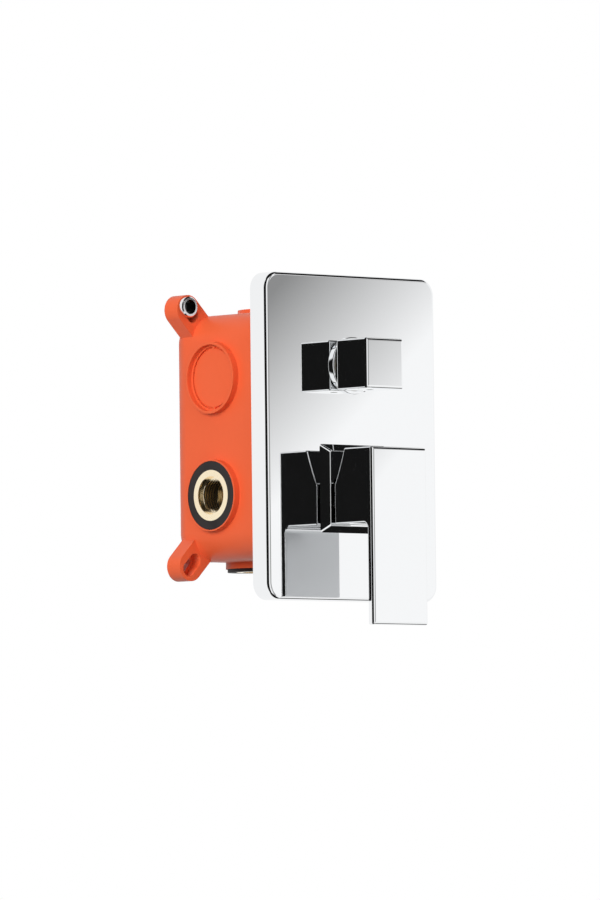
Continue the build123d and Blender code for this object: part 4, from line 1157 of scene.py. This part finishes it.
class Studio:
    """Floor, background, lights and camera, in metres, degrees and shares of full white."""

    DARK_SIDE = -79.0
    DARK_SIDE_EDGE = (38.5, 41.5)
    GAP = 12.0
    GAP_EDGE = (9.0, 14.0)
    GAP_LEVEL = 0.35
    DARK_SPOTS = (
        ((0.67, -0.50, 0.55), 14.0),
        ((0.67, -0.17, 0.72), 14.0),
        ((0.67, -0.06, -0.74), 12.0),
        ((0.0, 0.0, 1.0), 38.0),
        ((0.0, 0.0, -1.0), 34.0),
    )
    SPOT_SOFTNESS = 3.0
    WALL_LEVEL = 0.93
    DARK_LEVEL = 0.008
    FILL_EDGE = (-0.5, 0.2)
    FILL_FRONT = 0.70
    FILL_BACK = 0.08

    FLOOR_REACH = 6.0
    FLOOR_HEIGHT = -0.62
    FLOOR_TONE = 0.93
    FLOOR_GLOW = 0.58

    CARD_WAY = (0.672, -0.741, 0.055)
    CARD_RIGHT = (0.741, 0.672, 0.0)
    CARD_FROM = (0.0, -0.098, 0.0)
    CARD_DISTANCE = 0.9
    CARD_HALF = (0.42, 0.24)
    CARD_SLOPE = (0.60, -0.56)
    CARD_RAMP = (-0.080, -0.002)
    CARD_LEVELS = (0.28, 0.99)

    LAMPS = (
        ("key_light", (-1.0, -0.35, 0.25), 0.8, 19.0),
        ("top_light", (-0.1, -0.3, 1.0), 1.2, 3.0),
    )
    LAMP_DISTANCE = 1.6
    LAMP_TARGET = Vector((0.0, -0.05, 0.0))

    CAMERA_AZIMUTH = -42.2
    CAMERA_ELEVATION = -3.0
    CAMERA_ROLL_RADIANS = 0.011
    CAMERA_DISTANCE = 5.2
    SENSOR_MM = 36.0
    PICTURE = (600.0, 900.0)
    PIXELS_A_METRE = 1800.0
    WALL_CENTRE_PIXEL = (336.3, 439.0)

    def build(self) -> None:
        """Builds everything that isn't the object."""
        self._world()
        self._floor()
        self._card()
        self._lamps()
        self._camera()
        bpy.context.scene.view_settings.view_transform = "Standard"

    def _world(self) -> None:
        """White to the camera. Metal mirrors a white room with a dark side and a few dark spots."""
        world = bpy.data.worlds.new("white_room")
        world.use_nodes = True
        bpy.context.scene.world = world
        nodes = Nodes(world.node_tree)
        out = world.node_tree.nodes["World Output"]
        link = world.node_tree.links.new
        ray_way = nodes.add("TexCoord").outputs["Generated"]
        ray = nodes.add("SeparateXYZ", {0: ray_way})
        azimuth = nodes.math("ARCTAN2", ray.outputs[0], nodes.math("MULTIPLY", ray.outputs[1], -1.0))
        away = nodes.math("ABSOLUTE", nodes.math("SUBTRACT", azimuth, math.radians(self.DARK_SIDE)))
        side = nodes.smooth_step(away, *map(math.radians, self.DARK_SIDE_EDGE))
        line = nodes.math("ABSOLUTE", nodes.math("SUBTRACT", azimuth, math.radians(self.GAP)))
        gap = nodes.smooth_step(line, *map(math.radians, self.GAP_EDGE), self.GAP_LEVEL, 1.0)
        walls = nodes.math("MULTIPLY", side, gap)
        for way, spread in self.DARK_SPOTS:
            values = {0: ray_way, 1: Vector(way).normalized()}
            facing = nodes.add("VectorMath", values, operation="DOT_PRODUCT")
            inner = math.cos(math.radians(spread - self.SPOT_SOFTNESS))
            outer = math.cos(math.radians(spread + self.SPOT_SOFTNESS))
            spot = nodes.smooth_step(facing.outputs["Value"], outer, inner, 1.0, 0.0)
            walls = nodes.math("MULTIPLY", walls, spot)
        room = nodes.math("ADD", nodes.math("MULTIPLY", walls, self.WALL_LEVEL), self.DARK_LEVEL)
        path = nodes.add("LightPath")
        straight = path.outputs["Is Camera Ray"]
        seen = nodes.math("ADD", straight, path.outputs["Is Transmission Ray"], clamp=True)
        glossy = nodes.add("Background", {"Color": room, "Strength": 1.0})
        fill = nodes.smooth_step(ray.outputs[1], *self.FILL_EDGE, self.FILL_FRONT, self.FILL_BACK)
        plain = nodes.add("Background", {"Color": fill, "Strength": 1.0})
        white = nodes.add("Background", {"Color": (1.0, 1.0, 1.0, 1.0), "Strength": 1.0})
        mirrored = path.outputs["Is Glossy Ray"]
        lit = nodes.add("MixShader", {0: mirrored, 1: plain.outputs[0], 2: glossy.outputs[0]})
        final = nodes.add("MixShader", {0: seen, 1: lit.outputs[0], 2: white.outputs[0]})
        link(final.outputs[0], out.inputs["Surface"])

    def _floor(self) -> None:
        """Pale floor well below the part, which a wall holds."""
        reach = self.FLOOR_REACH
        height = self.FLOOR_HEIGHT
        near = [(-reach, -reach, height), (reach, -reach, height)]
        far = [(-reach, reach, height), (reach, reach, height)]
        floor = grid_object("studio_floor", np.array([near, far]), False, False)
        floor.visible_glossy = False
        floor.visible_diffuse = False
        material = bpy.data.materials.new("studio_floor")
        material.use_nodes = True
        shader = material.node_tree.nodes["Principled BSDF"]
        shader.inputs["Base Color"].default_value = (self.FLOOR_TONE,) * 3 + (1.0,)
        shader.inputs["Roughness"].default_value = 0.9
        shader.inputs["Emission Color"].default_value = (1.0, 1.0, 1.0, 1.0)
        shader.inputs["Emission Strength"].default_value = self.FLOOR_GLOW
        floor.data.materials.append(material)

    def _card(self) -> None:
        """Bright card that the front faces mirror to the camera, darker at the mirrored upper left."""
        way = Vector(self.CARD_WAY).normalized()
        centre = Vector(self.CARD_FROM) + way * self.CARD_DISTANCE
        right = Vector(self.CARD_RIGHT).normalized()
        wide, tall = self.CARD_HALF
        corners = [(-wide, -tall), (wide, -tall), (-wide, tall), (wide, tall)]
        mesh = bpy.data.meshes.new("gradient_card")
        mesh.from_pydata([(u, v, 0.0) for u, v in corners], [], [(0, 1, 3, 2)])
        card = bpy.data.objects.new("gradient_card", mesh)
        bpy.context.scene.collection.objects.link(card)
        card.matrix_world = axes_matrix(right, way.cross(right), way, centre)
        for flag in ("visible_camera", "visible_diffuse", "visible_transmission", "visible_shadow"):
            setattr(card, flag, False)
        material = bpy.data.materials.new("gradient_card")
        material.use_nodes = True
        nodes = Nodes(material.node_tree)
        local = nodes.add("SeparateXYZ", {0: nodes.add("TexCoord").outputs["Object"]})
        across = nodes.math("MULTIPLY", local.outputs[0], self.CARD_SLOPE[0])
        down = nodes.math("MULTIPLY", local.outputs[1], self.CARD_SLOPE[1])
        values = {"Value": nodes.math("ADD", across, down)}
        values["From Min"], values["From Max"] = self.CARD_RAMP
        values["To Min"], values["To Max"] = self.CARD_LEVELS
        ramp = nodes.add("MapRange", values)
        glow = nodes.add("Emission", {"Color": ramp.outputs[0], "Strength": 1.0})
        out = material.node_tree.nodes["Material Output"]
        material.node_tree.links.new(glow.outputs[0], out.inputs["Surface"])
        card.data.materials.append(material)

    def _lamps(self) -> None:
        """Soft lamps that light plastic and rubber but aren't mirrored in the chrome."""
        for name, way, size, power in self.LAMPS:
            lamp = bpy.data.lights.new(name, "AREA")
            lamp.shape = "SQUARE"
            lamp.size = size
            lamp.energy = power
            holder = bpy.data.objects.new(name, lamp)
            bpy.context.scene.collection.objects.link(holder)
            spot = Vector(way).normalized() * self.LAMP_DISTANCE + self.LAMP_TARGET
            holder.location = spot
            holder.rotation_euler = (self.LAMP_TARGET - spot).to_track_quat("-Z", "Y").to_euler()
            holder.visible_glossy = False

    def _camera(self) -> None:
        """Long lens at the front left, a little below the part and turned by a fraction of a degree.

        The plate's centre on the wall plane lands on a given pixel of the picture.
        """
        azimuth = math.radians(self.CAMERA_AZIMUTH)
        elevation = math.radians(self.CAMERA_ELEVATION)
        roll = self.CAMERA_ROLL_RADIANS
        towards = Vector(
            (
                math.sin(azimuth) * math.cos(elevation),
                -math.cos(azimuth) * math.cos(elevation),
                math.sin(elevation),
            )
        )
        level = Vector((math.cos(azimuth), math.sin(azimuth), 0.0))
        upright = towards.cross(level)
        right = level * math.cos(roll) - upright * math.sin(roll)
        up = upright * math.cos(roll) + level * math.sin(roll)
        across = (self.WALL_CENTRE_PIXEL[0] - self.PICTURE[0] / 2) / self.PIXELS_A_METRE
        down = (self.WALL_CENTRE_PIXEL[1] - self.PICTURE[1] / 2) / self.PIXELS_A_METRE
        aim = Vector((0.0, -WALL_DEPTH * MM, 0.0)) - right * across + up * down
        camera = bpy.data.cameras.new("camera")
        camera.sensor_fit = "VERTICAL"
        camera.sensor_height = self.SENSOR_MM
        camera.lens = self.SENSOR_MM * self.CAMERA_DISTANCE / (self.PICTURE[1] / self.PIXELS_A_METRE)
        holder = bpy.data.objects.new("camera", camera)
        bpy.context.scene.collection.objects.link(holder)
        holder.matrix_world = axes_matrix(right, up, towards, aim + towards * self.CAMERA_DISTANCE)
        bpy.context.scene.camera = holder


def main() -> None:
    """Loads the frame, dresses it piece by piece and sets up the studio."""
    logging.basicConfig(level=logging.INFO, format="%(name)s %(message)s")
    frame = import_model()
    materials = Materials(frame["record"], frame["nodes"])
    shop = Workshop(frame, materials)
    for part in (CoverPlate(), Rosette(), Collar(), Lever(), Knob(), Casting()):
        part.build(shop)
    for node in ("box_shell", "wall_screws"):
        piece = shop.smooth_copy(node, node + "_dressed")
        shop.fit(even_normals(piece), Body.VALVE, materials.slot_of[node], node)
    Studio().build()


if __name__ == "__main__":
    main()
